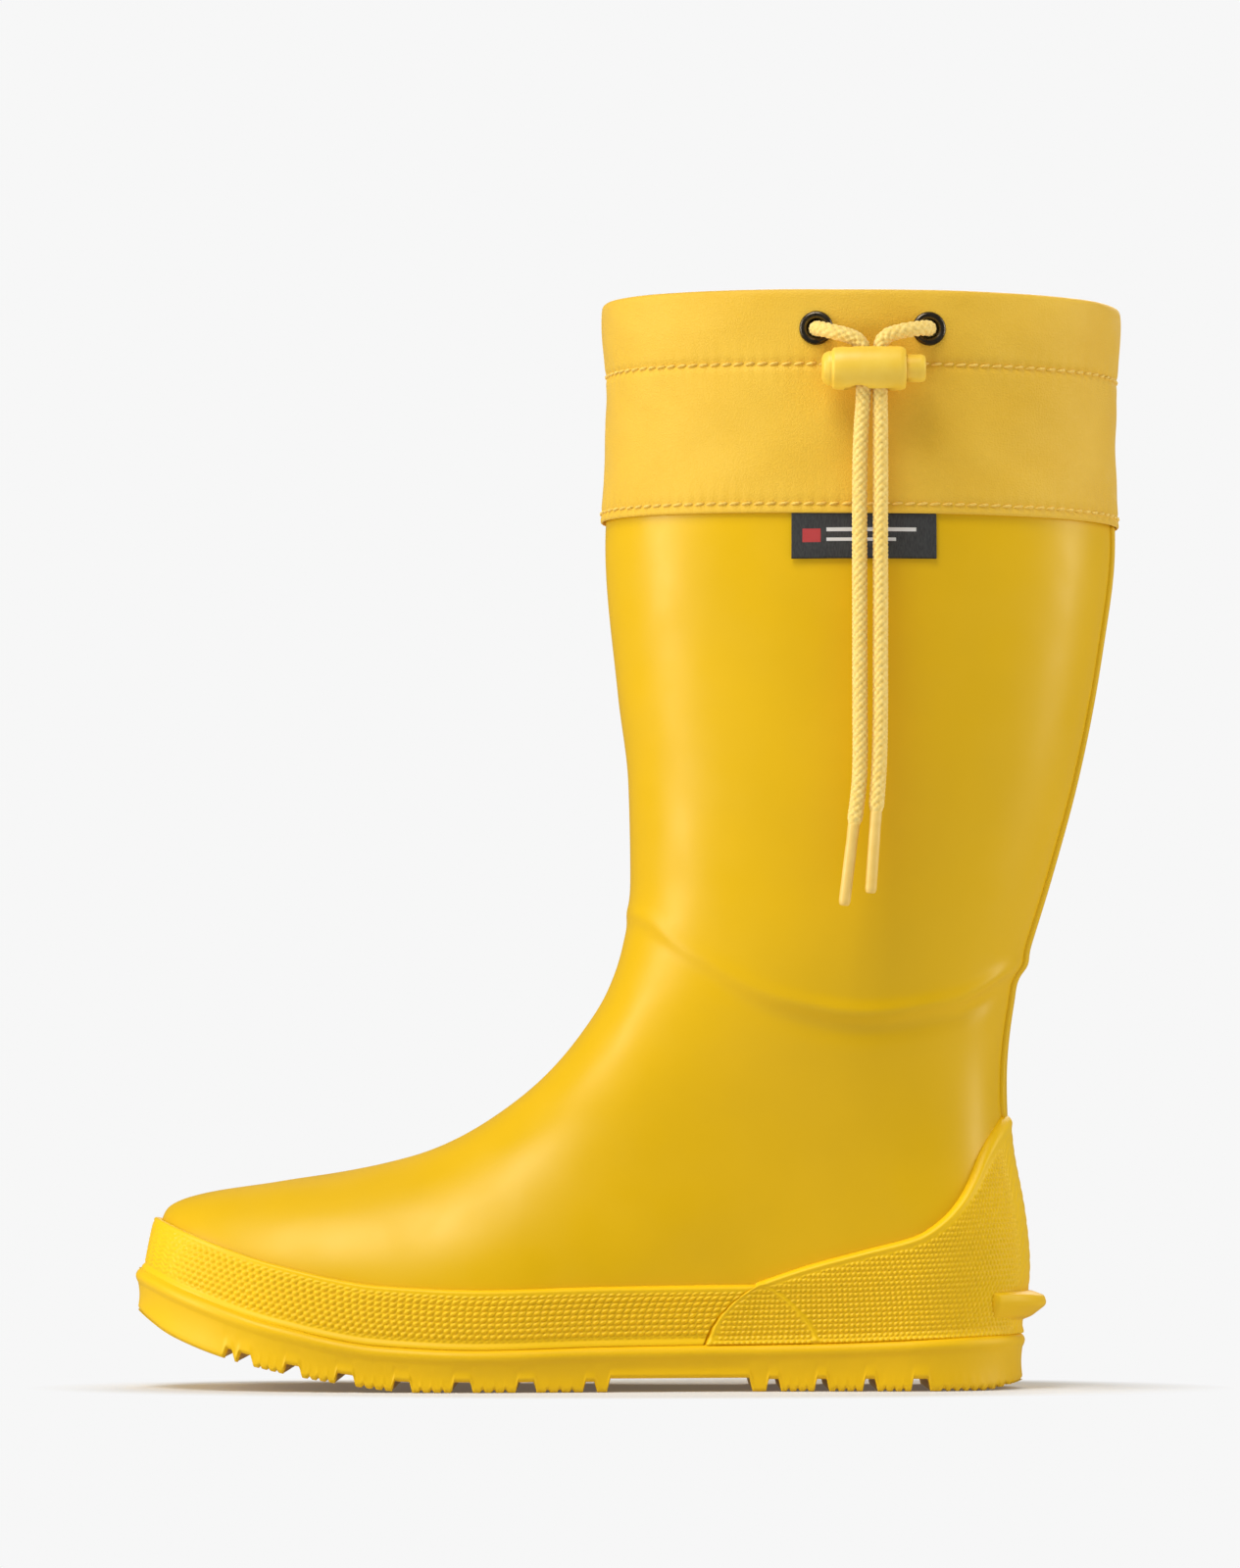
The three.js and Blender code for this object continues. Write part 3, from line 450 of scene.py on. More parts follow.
def braid(turn, distance, strands=6, pitch=2.5):
    """Height of a round braid from 0 to 1. Strands run along a = constant and b = constant, the two
    slanted directions, and at each crossing the one whose wave is up covers the other."""
    a = strands * turn / (2 * np.pi) + distance / pitch
    b = strands * turn / (2 * np.pi) - distance / pitch
    round_a = np.sqrt(np.maximum(0, 1 - (2 * (a % 1) - 1) ** 2))
    round_b = np.sqrt(np.maximum(0, 1 - (2 * (b % 1) - 1) ** 2))
    wave_a = np.sin(np.pi * b) * np.where(np.floor(a) % 2, -1, 1)
    wave_b = -np.sin(np.pi * a) * np.where(np.floor(b) % 2, -1, 1)
    return np.maximum(0.55 * round_a + 0.45 * wave_a, 0.55 * round_b + 0.45 * wave_b).clip(0, 1)


def swept(points, radius, turns):
    """A grid of rings round a curve: radius is a table of rows along the curve by turns round it."""
    _, across, other = frames_along(points)
    ring = across[:, None] * np.cos(turns)[None, :, None] + other[:, None] * np.sin(turns)[None, :, None]
    return points[:, None] + ring * radius[..., None]


def capped(rings):
    """Adds a point's worth of ring at both ends, so that the tube closes."""
    first = np.repeat(rings[:1].mean(axis=1, keepdims=True), rings.shape[1], axis=1)
    last = np.repeat(rings[-1:].mean(axis=1, keepdims=True), rings.shape[1], axis=1)
    return np.concatenate((first, rings, last))


def cord_end(name, route):
    """A braided tube along a route, drawn in where the stiff tip grips it."""
    points, distance = along_route(route, CORD_RINGS)
    turns = full_turn(CORD_SIDES)
    relief = braid(turns[None, :], distance[:, None])
    grip = ease(distance[-1] - distance, 0.5, 4.0)[:, None]
    core = (CORD_DIAMETER / 2 - STRAND_SINK) * (GRIPPED + (1 - GRIPPED) * grip)
    radius = core + (relief - STRAND_ROOT) * STRAND_HEIGHT * grip
    rings = capped(swept(points, radius, turns))
    return grid_piece(name, placed(rings), wrap_columns=True)


front_cord = cord_end("drawstring_front", FRONT_ROUTE)
rear_cord = cord_end("drawstring_rear", REAR_ROUTE)

# %% [markdown]
# ## Turned pieces
# Tips, eyelets and the lock's barrel and button are all turned shapes: an outline of radius against
# distance along an axis, spun round that axis. A real edge is never sharp, so each outline is softened.

# %% Tips of the cords
def spun(name, outline, origin, axis, segments=40, closed=False):
    """Spins an outline of (radius, distance) points round an axis through the origin."""
    axis = np.array(axis, float) / np.linalg.norm(axis)
    helper = np.array((0, 0, 1.0)) if abs(axis[2]) < 0.9 else np.array((1.0, 0, 0))
    side = np.cross(axis, helper)
    side /= np.linalg.norm(side)
    other = np.cross(axis, side)
    turns = full_turn(segments)
    radius, distance = np.array(outline, float).T
    ring = side * np.cos(turns)[:, None] + other * np.sin(turns)[:, None]
    points = np.array(origin) + distance[:, None, None] * axis + radius[:, None, None] * ring[None]
    return grid_piece(name, placed(points), wrap_rows=closed, wrap_columns=True)


def softened(outline, radius=0.35, closed=False):
    """Rounds the corners of an outline: each is replaced by a short quadratic curve."""
    corners = np.array(outline, float)
    count = len(corners)
    rounded = [] if closed else [corners[:1]]
    for i in range(count) if closed else range(1, count - 1):
        here, before, after = corners[i], corners[i - 1], corners[(i + 1) % count]
        reach_in = min(radius, np.linalg.norm(before - here) * 0.45)
        reach_out = min(radius, np.linalg.norm(after - here) * 0.45)
        start = here + (before - here) / np.linalg.norm(before - here) * reach_in
        end = here + (after - here) / np.linalg.norm(after - here) * reach_out
        t = np.linspace(0, 1, 5)[:, None]
        rounded.append(start * (1 - t) ** 2 + 2 * here * t * (1 - t) + end * t * t)
    return np.concatenate(rounded if closed else rounded + [corners[-1:]])


def cord_tip(name, route):
    """A smooth sleeve pressed on the end of a cord, a little waisted where the press gripped it."""
    end = np.array(route[-1], float)
    along = end - np.array(route[-3], float)
    outline = [
        (0, -1.9), (1.75, -1.9), (1.86, -1.2), (1.86, 1.2), (1.76, 3.0), (1.82, 6), (1.82, 22.6), (1.4, 23.8),
        (0, 23.8),
    ]
    return spun(name, softened(outline, 0.5), end, along)


front_tip = cord_tip("front_tip", FRONT_ROUTE)
rear_tip = cord_tip("rear_tip", REAR_ROUTE)

# %% [markdown]
# ## The cord lock
# The lock's axis lies along the boot. Its barrel has a rounded end cap with a step behind it, swells a
# little, and has a slot from top to bottom for the two cords. The button is the end of the plunger,
# whose window lines up with the slot. Slots are cut with a boolean that is settled at once.

# %% Barrel and button
LOCK_X, LOCK_Y, LOCK_Z = 231.6, -60.9, 319.8
LOCK_START, LOCK_LENGTH, SLOT_WIDTH, SLOT_DEPTH = LOCK_X - 14.1, 26.4, 14.4, 5.5
WINDOW_LOW, WINDOW_HIGH, WINDOW_ROUND = 226.5, 241.45, 1.6


def carve(piece, *cutters):
    """Cuts pieces away with exact booleans, keeps the result as the piece's mesh, and drops the cutters."""
    for cutter in cutters:
        cut = piece.modifiers.new("cut", "BOOLEAN")
        cut.operation, cut.solver, cut.object = "DIFFERENCE", "EXACT", cutter
    settled = bpy.data.meshes.new_from_object(piece.evaluated_get(bpy.context.evaluated_depsgraph_get()))
    old = piece.data
    piece.modifiers.clear()
    piece.data = settled
    bpy.data.meshes.remove(old)
    for cutter in cutters:
        bpy.data.meshes.remove(cutter.data)
    print(f"{piece.name}: cut, {len(piece.data.polygons)} faces")
    return piece


def slot_cutter(x_low, x_high, depth, radius=1.8):
    """An upright bar whose cross-section is a rectangle with rounded corners."""
    turns = full_turn(32)
    half = (x_high - x_low) / 2 - radius
    x = (x_low + x_high) / 2 + np.sign(np.cos(turns)) * half + radius * np.cos(turns)
    y = LOCK_Y + np.sign(np.sin(turns)) * (depth / 2 - radius) + radius * np.sin(turns)
    rows = [(0, -20), (1, -20), (1, 20), (0, 20)]
    points = [
        to_frame(LOCK_X + (x - LOCK_X) * size, LOCK_Y + (y - LOCK_Y) * size, LOCK_Z + z) for size, z in rows
    ]
    return grid_piece("cutter", np.array(points), wrap_columns=True)


def scallop_cutter(x, z, radius):
    """A short roller lying across the boot, for the hollow under the lock where the cords leave it."""
    outline = softened([(0, -12), (radius, -12), (radius, 12), (0, 12)], 0.4)
    return spun("cutter", outline, (x, LOCK_Y, z), (0, 1, 0), 64)


barrel_outline = softened(
    [(0, 0), (3.2, 0), (4.7, 0.7), (5.5, 2.3), (5.5, 3.3), (6.5, 3.6), (6.85, 6.5), (7.2, 12), (7.2, 18),
     (6.9, 25), (6.2, LOCK_LENGTH), (4.75, LOCK_LENGTH), (4.7, 25.6), (4.7, 2.6), (0, 2.6)],
    0.55,
)
lock_barrel = spun("lock_body", barrel_outline, (LOCK_START, LOCK_Y, LOCK_Z), (1, 0, 0), 96)
carve(
    lock_barrel,
    slot_cutter(LOCK_X - SLOT_WIDTH / 2, LOCK_X + SLOT_WIDTH / 2, SLOT_DEPTH),
    scallop_cutter(LOCK_START + 11.6, LOCK_Z - 11.2, 5.6),
)
button_outline = softened([(0, 8.2), (4.4, 8.2), (4.4, 31.2), (3.9, 32.5), (0, 32.7)], 0.5)
lock_button = spun("lock_plunger_button", button_outline, (LOCK_START, LOCK_Y, LOCK_Z), (1, 0, 0), 72)
carve(lock_button, slot_cutter(WINDOW_LOW, WINDOW_HIGH, SLOT_DEPTH, WINDOW_ROUND))

# %% [markdown]
# ## The lock's spring
# A coil of steel wire behind the plunger pushes its window out of line with the slot, which grips the
# cords. A turned profile can't make a coil, so a helix is worked out, and the sweep that made the cords
# gives it its round wire.

# %% Spring
spring_low, spring_high = ((np.array(corner)[0] - TOE_X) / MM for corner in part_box("lock_spring"))
WIRE, WIRE_SIDES, COILS, COIL_STEPS, COIL_RADIUS = 0.7, 10, 4, 28, 3.1
turn = np.linspace(0, 2 * np.pi * COILS, COIL_STEPS * COILS + 1)
coil = np.stack((
    spring_low + WIRE / 2 + (spring_high - spring_low - WIRE) * turn / turn[-1],
    LOCK_Y + COIL_RADIUS * np.cos(turn), LOCK_Z + COIL_RADIUS * np.sin(turn),
), axis=1)
wire_turns = full_turn(WIRE_SIDES)
coil_rings = capped(swept(coil, np.full((len(coil), WIRE_SIDES), WIRE / 2), wire_turns))
lock_spring = grid_piece("coil_spring", placed(coil_rings), wrap_columns=True)
print(f"the spring is {spring_high - spring_low:.1f} mm long at rest")

# %% [markdown]
# ## The leg and foot in one skin
# The rubber skin is the last itself, offset by nothing outside and by the wall inside. A soft ridge
# runs across the ankle where the leg's thicker rubber overlaps the foot's: a bell-shaped crest and a
# step behind it, which fade towards the shin.

# %% Upper shell
SHELL_TOP_LIFT, SHELL_WALL = 286 - SHAFT_RISE, 2.2
ridge_height = through([
    (140, 152), (157, 150.9), (176, 138), (205, 122.5), (231, 118), (258, 122), (283, 135), (300, 139),
])
ridge_strength = through([
    (150, 0.05), (165, 0.5), (185, 0.62), (205, 0.75), (222, 0.9), (270, 1.0), (284, 0.6), (300, 0.5),
])


def skin_relief(x, z):
    """Relief of the moulded skin over the last, in millimetres: the ankle's crest and the step above it."""
    above = z - ridge_height(x)
    crest = 1.45 * hump(above, 0.5, 2.9) - 0.65 * hump(above, -5.0, 3.6)
    step = 0.75 * ease(above, -3, 3) * (1 - ease(above, 10, 60))
    return ridge_strength(x) * (crest + step) * ease(z, 100, 112)


def relief_at(angle, lift):
    """The skin's relief at an angle and a lift."""
    x, _, z = off_last(angle, lift, 0)
    return skin_relief(x, z)


def bag_grid(outer, inner, outer_lifts, inner_lifts, angles):
    """Rows of a boot-shaped bag: its floor outside, up the outside, down the inside, and its floor inside."""
    rows = []
    for lift_row, distance, closing in ((outer_lifts, outer, 0), (inner_lifts[::-1], inner, -1)):
        angle, lift = np.meshgrid(angles, lift_row)
        relief = relief_at(angle, lift) if distance == 0 else 0
        wall = skin_points(angle, lift, distance + relief)
        rim = wall[closing]
        middle = middle_line(rim[:, 0], lift_row[closing])
        across = [middle + (rim[:, 1] - middle) * share for share in (0, 0.5)]
        floor = [np.stack((rim[:, 0], y, rim[:, 2]), axis=-1) for y in across]
        rows.append(np.concatenate((floor, wall)) if closing == 0 else np.concatenate((wall, floor[::-1])))
    return np.concatenate(rows)


def eased_instep(grid, rows):
    """Blurs the half widths along each row where the foot turns up into the leg, so that no crease shows."""
    y = grid[:rows, :, 1]
    reach = np.arange(-18, 19)
    window = np.exp(-0.5 * (reach / 7.0) ** 2)
    blurred_y = sum(w * np.roll(y, k, axis=1) for k, w in zip(reach, window / window.sum()))
    x, z = grid[:rows, :, 0], grid[:rows, :, 2]
    weight = hump(x, 158, 30) * ease(z, 38, 60) * (1 - ease(z, 150, 185))
    grid[:rows, :, 1] = y + weight * (blurred_y - y)
    return grid


foot_lifts, ankle_lifts = np.linspace(0.3, 60, 70), np.linspace(61, 150, 78)
leg_lifts, rim_lifts = np.linspace(152, SHELL_TOP_LIFT - 1, 46), SHELL_TOP_LIFT + np.array([-0.5, 0])
outside_lifts = np.concatenate((foot_lifts, ankle_lifts, leg_lifts, rim_lifts))
shell_grid = bag_grid(0, -SHELL_WALL, outside_lifts, np.linspace(2.5, SHELL_TOP_LIFT, 26), even_angles(280))
shell_grid = eased_instep(shell_grid, len(outside_lifts) + 2)
upper_shell = grid_piece("boot_skin", placed(shell_grid), wrap_columns=True)

lining_outer, lining_inner = -SHELL_WALL - 0.3, -SHELL_WALL - 1.3
lining_lifts = np.linspace(2.8, 271, 40), np.linspace(3.8, 271, 90)
lining_grid = bag_grid(lining_outer, lining_inner, *lining_lifts, even_angles(160))
lining = grid_piece("knit_lining", placed(lining_grid), wrap_columns=True)

# %% [markdown]
# ## Outsole
# One profile is swept round the sole's plan: a flat tread, a wall that is slightly hollow, a groove, and
# a rolled lip under the foot. The tread's grooves are cut by raising the profile's foot as a function of
# x, so the grid has a column at each groove's edges and stays sharp there.

# %% Tread heights along the sole
FRONT_GROOVES = [
    (31.6, 2.6), (36.8, 4.4), (51.9, 5.0), (68.5, 5.6), (86.4, 5.4), (105.3, 5.8), (125.3, 5.8), (145.2, 3.6),
]
HEEL_GROOVES = [(202.7, 3.8), (217.8, 3.8), (233.0, 3.8), (249.0, 5.4)]
FRONT_DEPTH, HEEL_DEPTH, GROOVE_INSIDE, GROOVE_OUTSIDE = 3.3, 3.9, 0.5, 0.6
WAIST_LOW, WAIST_HIGH, ARCH_RISE, FLARE, HEEL_BLOCK, HEEL_PITCH = 150.4, 196.2, 4.3, 1.1, 255.0, 2.9
groove_table = [(x, width, FRONT_DEPTH) for x, width in FRONT_GROOVES]
groove_table += [(x, width, HEEL_DEPTH) for x, width in HEEL_GROOVES]
groove_edges = [x + side * width / 2 for x, width, _ in groove_table for side in (-1, 1)]
lug_edges = sorted([0] + groove_edges + [WAIST_LOW, WAIST_HIGH, HEEL_BLOCK])
lugs = [(a, b) for a, b in zip(lug_edges[:-1], lug_edges[1:]) if 5 < b - a < 20]


def tread_cut(x):
    """How far the tread is raised over x by its grooves, the waist and the fine cuts across each lug."""
    cut = ARCH_RISE * ease(x, WAIST_LOW, WAIST_LOW + FLARE) * (1 - ease(x, WAIST_HIGH - FLARE, WAIST_HIGH))
    for centre, width, depth in groove_table:
        from_edge = abs(x - centre) - width / 2
        cut = np.maximum(cut, depth * (1 - ease(from_edge, -GROOVE_INSIDE, GROOVE_OUTSIDE)))
    for low, high in lugs:
        share = (x - low) / (high - low)
        fine = np.abs(((share * 4) % 1) - 0.5) * 2
        inside = (x > low + 1.4) & (x < high - 1.4) & (x > 40)
        cut = np.maximum(cut, np.where(inside, 0.9 * (1 - ease(1 - fine, 0.1, 0.45)), 0))
    serrated = 0.8 * (1 - ease(np.abs(((x - HEEL_BLOCK) / HEEL_PITCH) % 1 - 0.5) * 2, 0.25, 0.8))
    return np.maximum(cut, np.where((x > HEEL_BLOCK + 0.5) & (x < 279), serrated, 0))


def outline(inset, count):
    """The sole's plan as a loop, out along the outer side and back along the inner, and outward normals."""
    even = np.linspace(0, np.pi, count)
    base = inset + (SOLE_LENGTH - 2 * inset) * (1 - np.cos(even)) / 2
    slope = np.array((-GROOVE_OUTSIDE, GROOVE_INSIDE))
    edges = [c - side * (w / 2 - slope) for c, w, _ in groove_table for side in (1, -1)]
    fine = np.arange(40, 279, 0.42)
    fine = fine[(fine < WAIST_LOW) | (fine > WAIST_HIGH)]
    waist = [WAIST_LOW, WAIST_LOW + FLARE, WAIST_HIGH - FLARE, WAIST_HIGH]
    xs = np.unique(np.round(np.concatenate((base, *edges, fine, waist)), 2))
    xs = xs[np.concatenate(([True], np.diff(xs) > 0.08))]
    outer = -sole_width(-1, xs, inset)
    inner = sole_width(1, xs, inset)
    x = np.concatenate((xs, xs[-2:0:-1]))
    y = np.concatenate((outer, inner[-2:0:-1])) + middle_line(x, 0)
    tangent = np.stack((np.roll(x, -1) - np.roll(x, 1), np.roll(y, -1) - np.roll(y, 1)), axis=-1)
    normal = np.stack((-tangent[:, 1], tangent[:, 0]), axis=-1)
    normal /= np.linalg.norm(tangent, axis=1, keepdims=True)
    outward = np.sign(normal[:, 1] * y + normal[:, 0] * (x - SOLE_LENGTH / 2))
    return x, y, normal * np.where(outward == 0, 1, outward)[:, None]


# %% Outsole
plan_x, plan_y, plan_out = outline(0.02, 260)
tread_z = walking_line(plan_x) + tread_cut(plan_x)
top_z = footbed(plan_x)
middle = middle_line(plan_x, 0)
# Each row of the profile: how far it stands outside the plan, the share of the half width where it is
# inside it, and its height as a function of the tread below and the lip above.
profile_rows = [(0, share, tread_z) for share in (0, 0.35, 0.7, 0.92)]
profile_rows += [(-1.6, 1, tread_z), (-0.7, 1, tread_z + 0.15), (-0.15, 1, tread_z + 0.75)]
profile_rows += [
    (-0.35 * np.sin(np.pi * share), 1, tread_z + 1.2 + (top_z - 6.0 - tread_z) * share)
    for share in np.linspace(0, 1, 9)
]
profile_rows += [
    (0.85 * np.sin(np.pi * t**1.25) ** 0.9, 1, top_z - 4.6 + 4.3 * t) for t in np.linspace(0.06, 0.94, 13)
]
profile_rows += [(-0.35, 1, top_z - 0.1), (-0.9, 1, top_z + 0.15)]
profile_rows += [(-1.6, 1, top_z + 0.6), (-4.5, 1, top_z + 0.6)]
profile_rows += [(0, share, top_z + 0.2) for share in (0.5, 0)]
sole_rows = []
for outside, share, height in profile_rows:
    x = plan_x + plan_out[:, 0] * outside
    y = middle + (plan_y - middle) * share + plan_out[:, 1] * outside * (share == 1)
    sole_rows.append(np.stack((np.clip(x, -0.9, SOLE_LENGTH + 0.9), y, height * np.ones_like(x)), axis=-1))
sole_grid = np.array(sole_rows)
outsole = grid_piece("lugged_outsole", placed(sole_grid), wrap_columns=True)

# %% [markdown]
# ## Pebbled bands
# A band is bonded round the foot from the outsole up, and a counter round the heel. Both have a smooth
# rolled edge and rows of small rounded pebbles. Each pebble is real relief: a bump that depends on its
# distance from the middle of its cell, in cells that are staggered row by row.

# %% Strips on the last
def strip_piece(name, angle, lift, outer, inner):
    """A strip on the last: its outer face is a full grid, and its inner face and ends are plain closings."""
    face = skin_points(angle, lift, outer)
    rows = [0, lift.shape[0] // 2, -1]
    back = skin_points(angle[rows], lift[rows], inner)[::-1]
    points = placed(np.concatenate((face, back)))
    return close_ends(mesh_piece(name, points, grid_faces(*points.shape[:2], True, False)))


def pebbles(along, up, width, height, start=0.5, end=1.0):
    """Staggered rounded bumps from 0 to 1, one in each cell of the given width and height."""
    row = np.floor(up / height)
    across = (along / width + 0.5 * (row % 2)) % 1 - 0.5
    return 1 - ease(np.hypot(2 * across, 2 * (up / height - row - 0.5)), start, end)


def rolled(distance, radius):
    """From 0 at an edge to 1 a radius away, as a quarter circle does."""
    return np.sqrt(1 - (1 - np.clip(distance / radius, 0, 1)) ** 2)


BAND_MIDDLE = 2.5


def band_angles(end, lift, count):
    """Angles spread evenly by arc length between -end and end at a lift, and the arc lengths from 0."""
    fine = np.linspace(0, end, 800)
    x, y, _ = off_last(fine, lift, BAND_MIDDLE)
    arc = np.concatenate(([0], np.cumsum(np.hypot(np.diff(x), np.diff(y)))))
    along = np.linspace(-arc[-1], arc[-1], count)
    return np.sign(along) * np.interp(abs(along), arc, fine), along


# %% Foxing band
FOXING_HEIGHT, BAND_FACE, BAND_ROOT, BAND_START = 19.0, 2.35, -0.5, 0.3
counter_edge = through([(0, 178.5), (7, 181.8), (14, 188.5), (19.5, 197)])
end_angle = float(angle_at(counter_edge(10.0) - 0.3, 10.0))
share_angle, along = band_angles(end_angle, 10.0, 1440)
foxing_lift = np.linspace(BAND_START, FOXING_HEIGHT, 60)[:, None] * np.ones_like(along)[None]
row_end = angle_at(counter_edge(foxing_lift[:, :1]) + 1.5, foxing_lift[:, :1])
foxing_angle = share_angle[None] / end_angle * row_end
tip_share = 1 - ease(abs(along), 20, 44)
zigzag = np.abs((along / 5.2) % 1 - 0.5) * 2
ribs = 0.5 + 0.5 * np.cos(2 * np.pi * (foxing_lift + 1.1 * zigzag) / 1.45)
grain = pebbles(along, foxing_lift, 2.35, 1.75, 0.35, 1.02) * 0.66 * (1 - tip_share) + ribs * 0.26 * tip_share
below_top = FOXING_HEIGHT - foxing_lift
grain = grain * ease(below_top, 2.2, 2.8) * ease(foxing_lift, 2.6, 3.2)
lip = 0.32 * hump(below_top, 1.15, 0.75)
flare = 0.85 * (1 - ease(foxing_lift, 0.6, 3.0))
foxing_outer = (BAND_FACE - 0.35) * rolled(below_top, 1.9) + (grain + lip) * ease(below_top, 0, 0.5) + flare
foxing_band = strip_piece("toe_band", foxing_angle, foxing_lift, foxing_outer, BAND_ROOT)

# %% Heel counter
COUNTER_HEIGHT = 73.0
counter_top = through([
    (197, 19.5), (214, 24.9), (231, 29), (248, 33), (256, 38), (261, 43.5), (265, 50.5), (268.5, 58.5),
    (273, 66), (277.5, 71.5), (281, COUNTER_HEIGHT),
])
counter_share = np.linspace(-1, 1, 760)
counter_share = np.sign(counter_share) * abs(counter_share) ** 1.15


def counter_angle(share, lift):
    """Angle of a share of the way from the back to the counter's front edge, at a lift."""
    return np.pi + share * (np.pi - angle_at(counter_edge(np.minimum(lift, FOXING_HEIGHT)), lift))


# The top edge is known over x, and x depends on the lift, so the edge is found by steps that halve the gap.
crest = np.full_like(counter_share, COUNTER_HEIGHT)
for _ in range(60):
    crest_x = on_last(counter_angle(counter_share, crest), crest)[..., 0]
    crest = 0.5 * crest + 0.5 * counter_top(crest_x)
rows = np.linspace(0, 1, 116)[:, None]
counter_lift = BAND_START + (crest[None] - BAND_START) * rows
angle = counter_angle(counter_share[None], counter_lift)
place = skin_points(angle, counter_lift, BAND_MIDDLE)
steps = np.linalg.norm(np.diff(place, axis=1), axis=-1)
along = np.concatenate((np.zeros((len(rows), 1)), np.cumsum(steps, axis=1)), axis=1)
along = along - along[:, [along.shape[1] // 2]]
to_top = (crest[None] - counter_lift) * np.minimum(1, 0.45 + 0.55 * ease(crest[None], 60, 20))
to_end = along[:, -1:] - abs(along)
to_edge = np.minimum(to_top, to_end)
arc_x = through([(0, 216.2), (3.5, 215.3), (9, 211.5), (15, 205.5), (19.5, 198.5)])
from_arc = (place[..., 0] - arc_x(counter_lift)) * (counter_lift < 21)
dots = 0.56 * pebbles(along, counter_lift, 1.75, 1.6, 0.35, 1.02)
near_back = 1 - ease(abs(along), 11, 22)
waves = 0.2 * (0.5 + 0.5 * np.cos(2 * np.pi * (to_top + 0.7 * np.sin(along / 2.2)) / 1.7))
relief = (dots * (1 - near_back) + waves * near_back) * ease(to_edge, 2.5, 3.2)
relief = relief * ease(abs(from_arc) + 9 * (counter_lift > 21), 0.9, 1.5)
arc_line = 0.6 * hump(from_arc, 0, 0.8) * (counter_lift < 20.5) * (counter_lift > 1)
relief = relief + 0.42 * hump(to_edge, 1.3, 0.85) + arc_line
counter_flare = 0.8 * (1 - ease(counter_lift, 0.6, 3.0))
counter_outer = BAND_FACE * rolled(to_edge, 1.7) + relief * ease(to_edge, 0, 0.6) + counter_flare
heel_counter = strip_piece("heel_patch", angle, counter_lift, counter_outer, BAND_ROOT)

# %% [markdown]
# ## Kick spur and back stay
# The spur is a smooth wedge that the other foot holds down when the boot is pulled off. The stay is a
# thin strip up the back seam. Both could be modelled flat and bent on, but as sections carried along the
# last they follow the heel's shape by themselves.

# %% Kick spur
SPUR_FRONT, SPUR_LOW, SPUR_HIGH, SPUR_SIDE, SPUR_REACH, SPUR_ROOT = 270.5, 3.0, 14.0, 1.7, 6.4, 1.8
spur_profile = softened(
    [(0, 0.02), (0, 0.12), (0.45, 0.3), (0.97, 0.66), (1, 0.76), (0.86, 0.92), (0.3, 1), (0, 0.99)], 0.09,
)
spur_turn = np.linspace(-1, 1, 61)
spur_rows = []
for out_share, up_share in spur_profile:
    lift = SPUR_LOW + (SPUR_HIGH - SPUR_LOW) * up_share * np.ones_like(spur_turn)
    end = np.pi - angle_at(SPUR_FRONT, lift)
    reach = SPUR_SIDE + (SPUR_REACH - SPUR_SIDE) * np.cos(spur_turn * np.pi / 2) ** 1.5
    reach = reach * (0.25 + 0.75 * rolled(1 - abs(spur_turn), 0.07))
    distance = SPUR_ROOT + (reach + 0.6) * out_share
    spur_rows.append(skin_points(np.pi + spur_turn * end, lift, distance))
spur_grid = np.moveaxis(capped(np.moveaxis(np.array(spur_rows), 0, 1)), 0, 1)
kick_spur = grid_piece("kick_off_spur", placed(spur_grid), wrap_rows=True)

# %% Back stay
STAY_BOTTOM, STAY_TOP, STAY_HALF, STAY_ROWS, STAY_COLUMNS = 82.0, 276.0, 7.0, 200, 25
stay_lift = np.linspace(STAY_BOTTOM, STAY_TOP, STAY_ROWS) - SHAFT_RISE
stay_across = np.linspace(-1, 1, STAY_COLUMNS)
stay_share = np.sign(stay_across) * abs(stay_across) ** 0.8
half = np.arcsin(STAY_HALF * (0.55 + 0.45 * rolled(stay_lift - stay_lift[0], 7.0)) / shaft_width(stay_lift))
lift, share = np.meshgrid(stay_lift, stay_share, indexing="ij")
angle = np.pi + share * half[:, None]
to_edge = (1 - abs(share)) * STAY_HALF
raised = rolled(np.minimum(to_edge, lift - stay_lift[0]), 1.1)
groove = 0.35 * hump(to_edge, 1.9, 0.4)
stay_face = relief_at(angle, lift) + 1.3 * raised - groove
face = skin_points(angle, lift, stay_face)
kept = [-1, STAY_COLUMNS // 2, 0]
under = skin_points(angle[:, kept], lift[:, kept], -0.6)
stay_grid = np.concatenate((face, under), axis=1)
back_stay = mesh_piece("seam_stay", placed(stay_grid), grid_faces(*stay_grid.shape[:2], False, True))
close_ends(back_stay)

# %% [markdown]
# ## Collar
# The collar is coated cloth. Its section is one closed line: up the outside from the hem, over the top,
# down inside to the seam, and back, so that the channel for the drawstring is really hollow. Dents are
# slow waves, and at each seam the thread pulls the cloth in between its holes.

# %% Collar cloth
CHANNEL_STITCH, HEM_STITCH = COLLAR_TOP - 23.8, COLLAR_BOTTOM + 3.0
COLLAR_WALL, TUNNEL_DEPTH, STITCH_PITCH = 0.9, 6.7, 4.0
COLLAR_REACH, COLLAR_HALF_WIDTH = 83.2, 52.3
collar_front = through([(275.3, 148.1), (284, 148.8), (297, 149.7), (325, 149.7), (346.3, 148.7)])
collar_back = through([(275.3, 315.1), (284, 314.6), (297, 314.2), (325, 315.2), (346.3, 315.7)])
collar_width = through([(275.3, 52.3), (297, 51.9), (346.3, 52.5)])


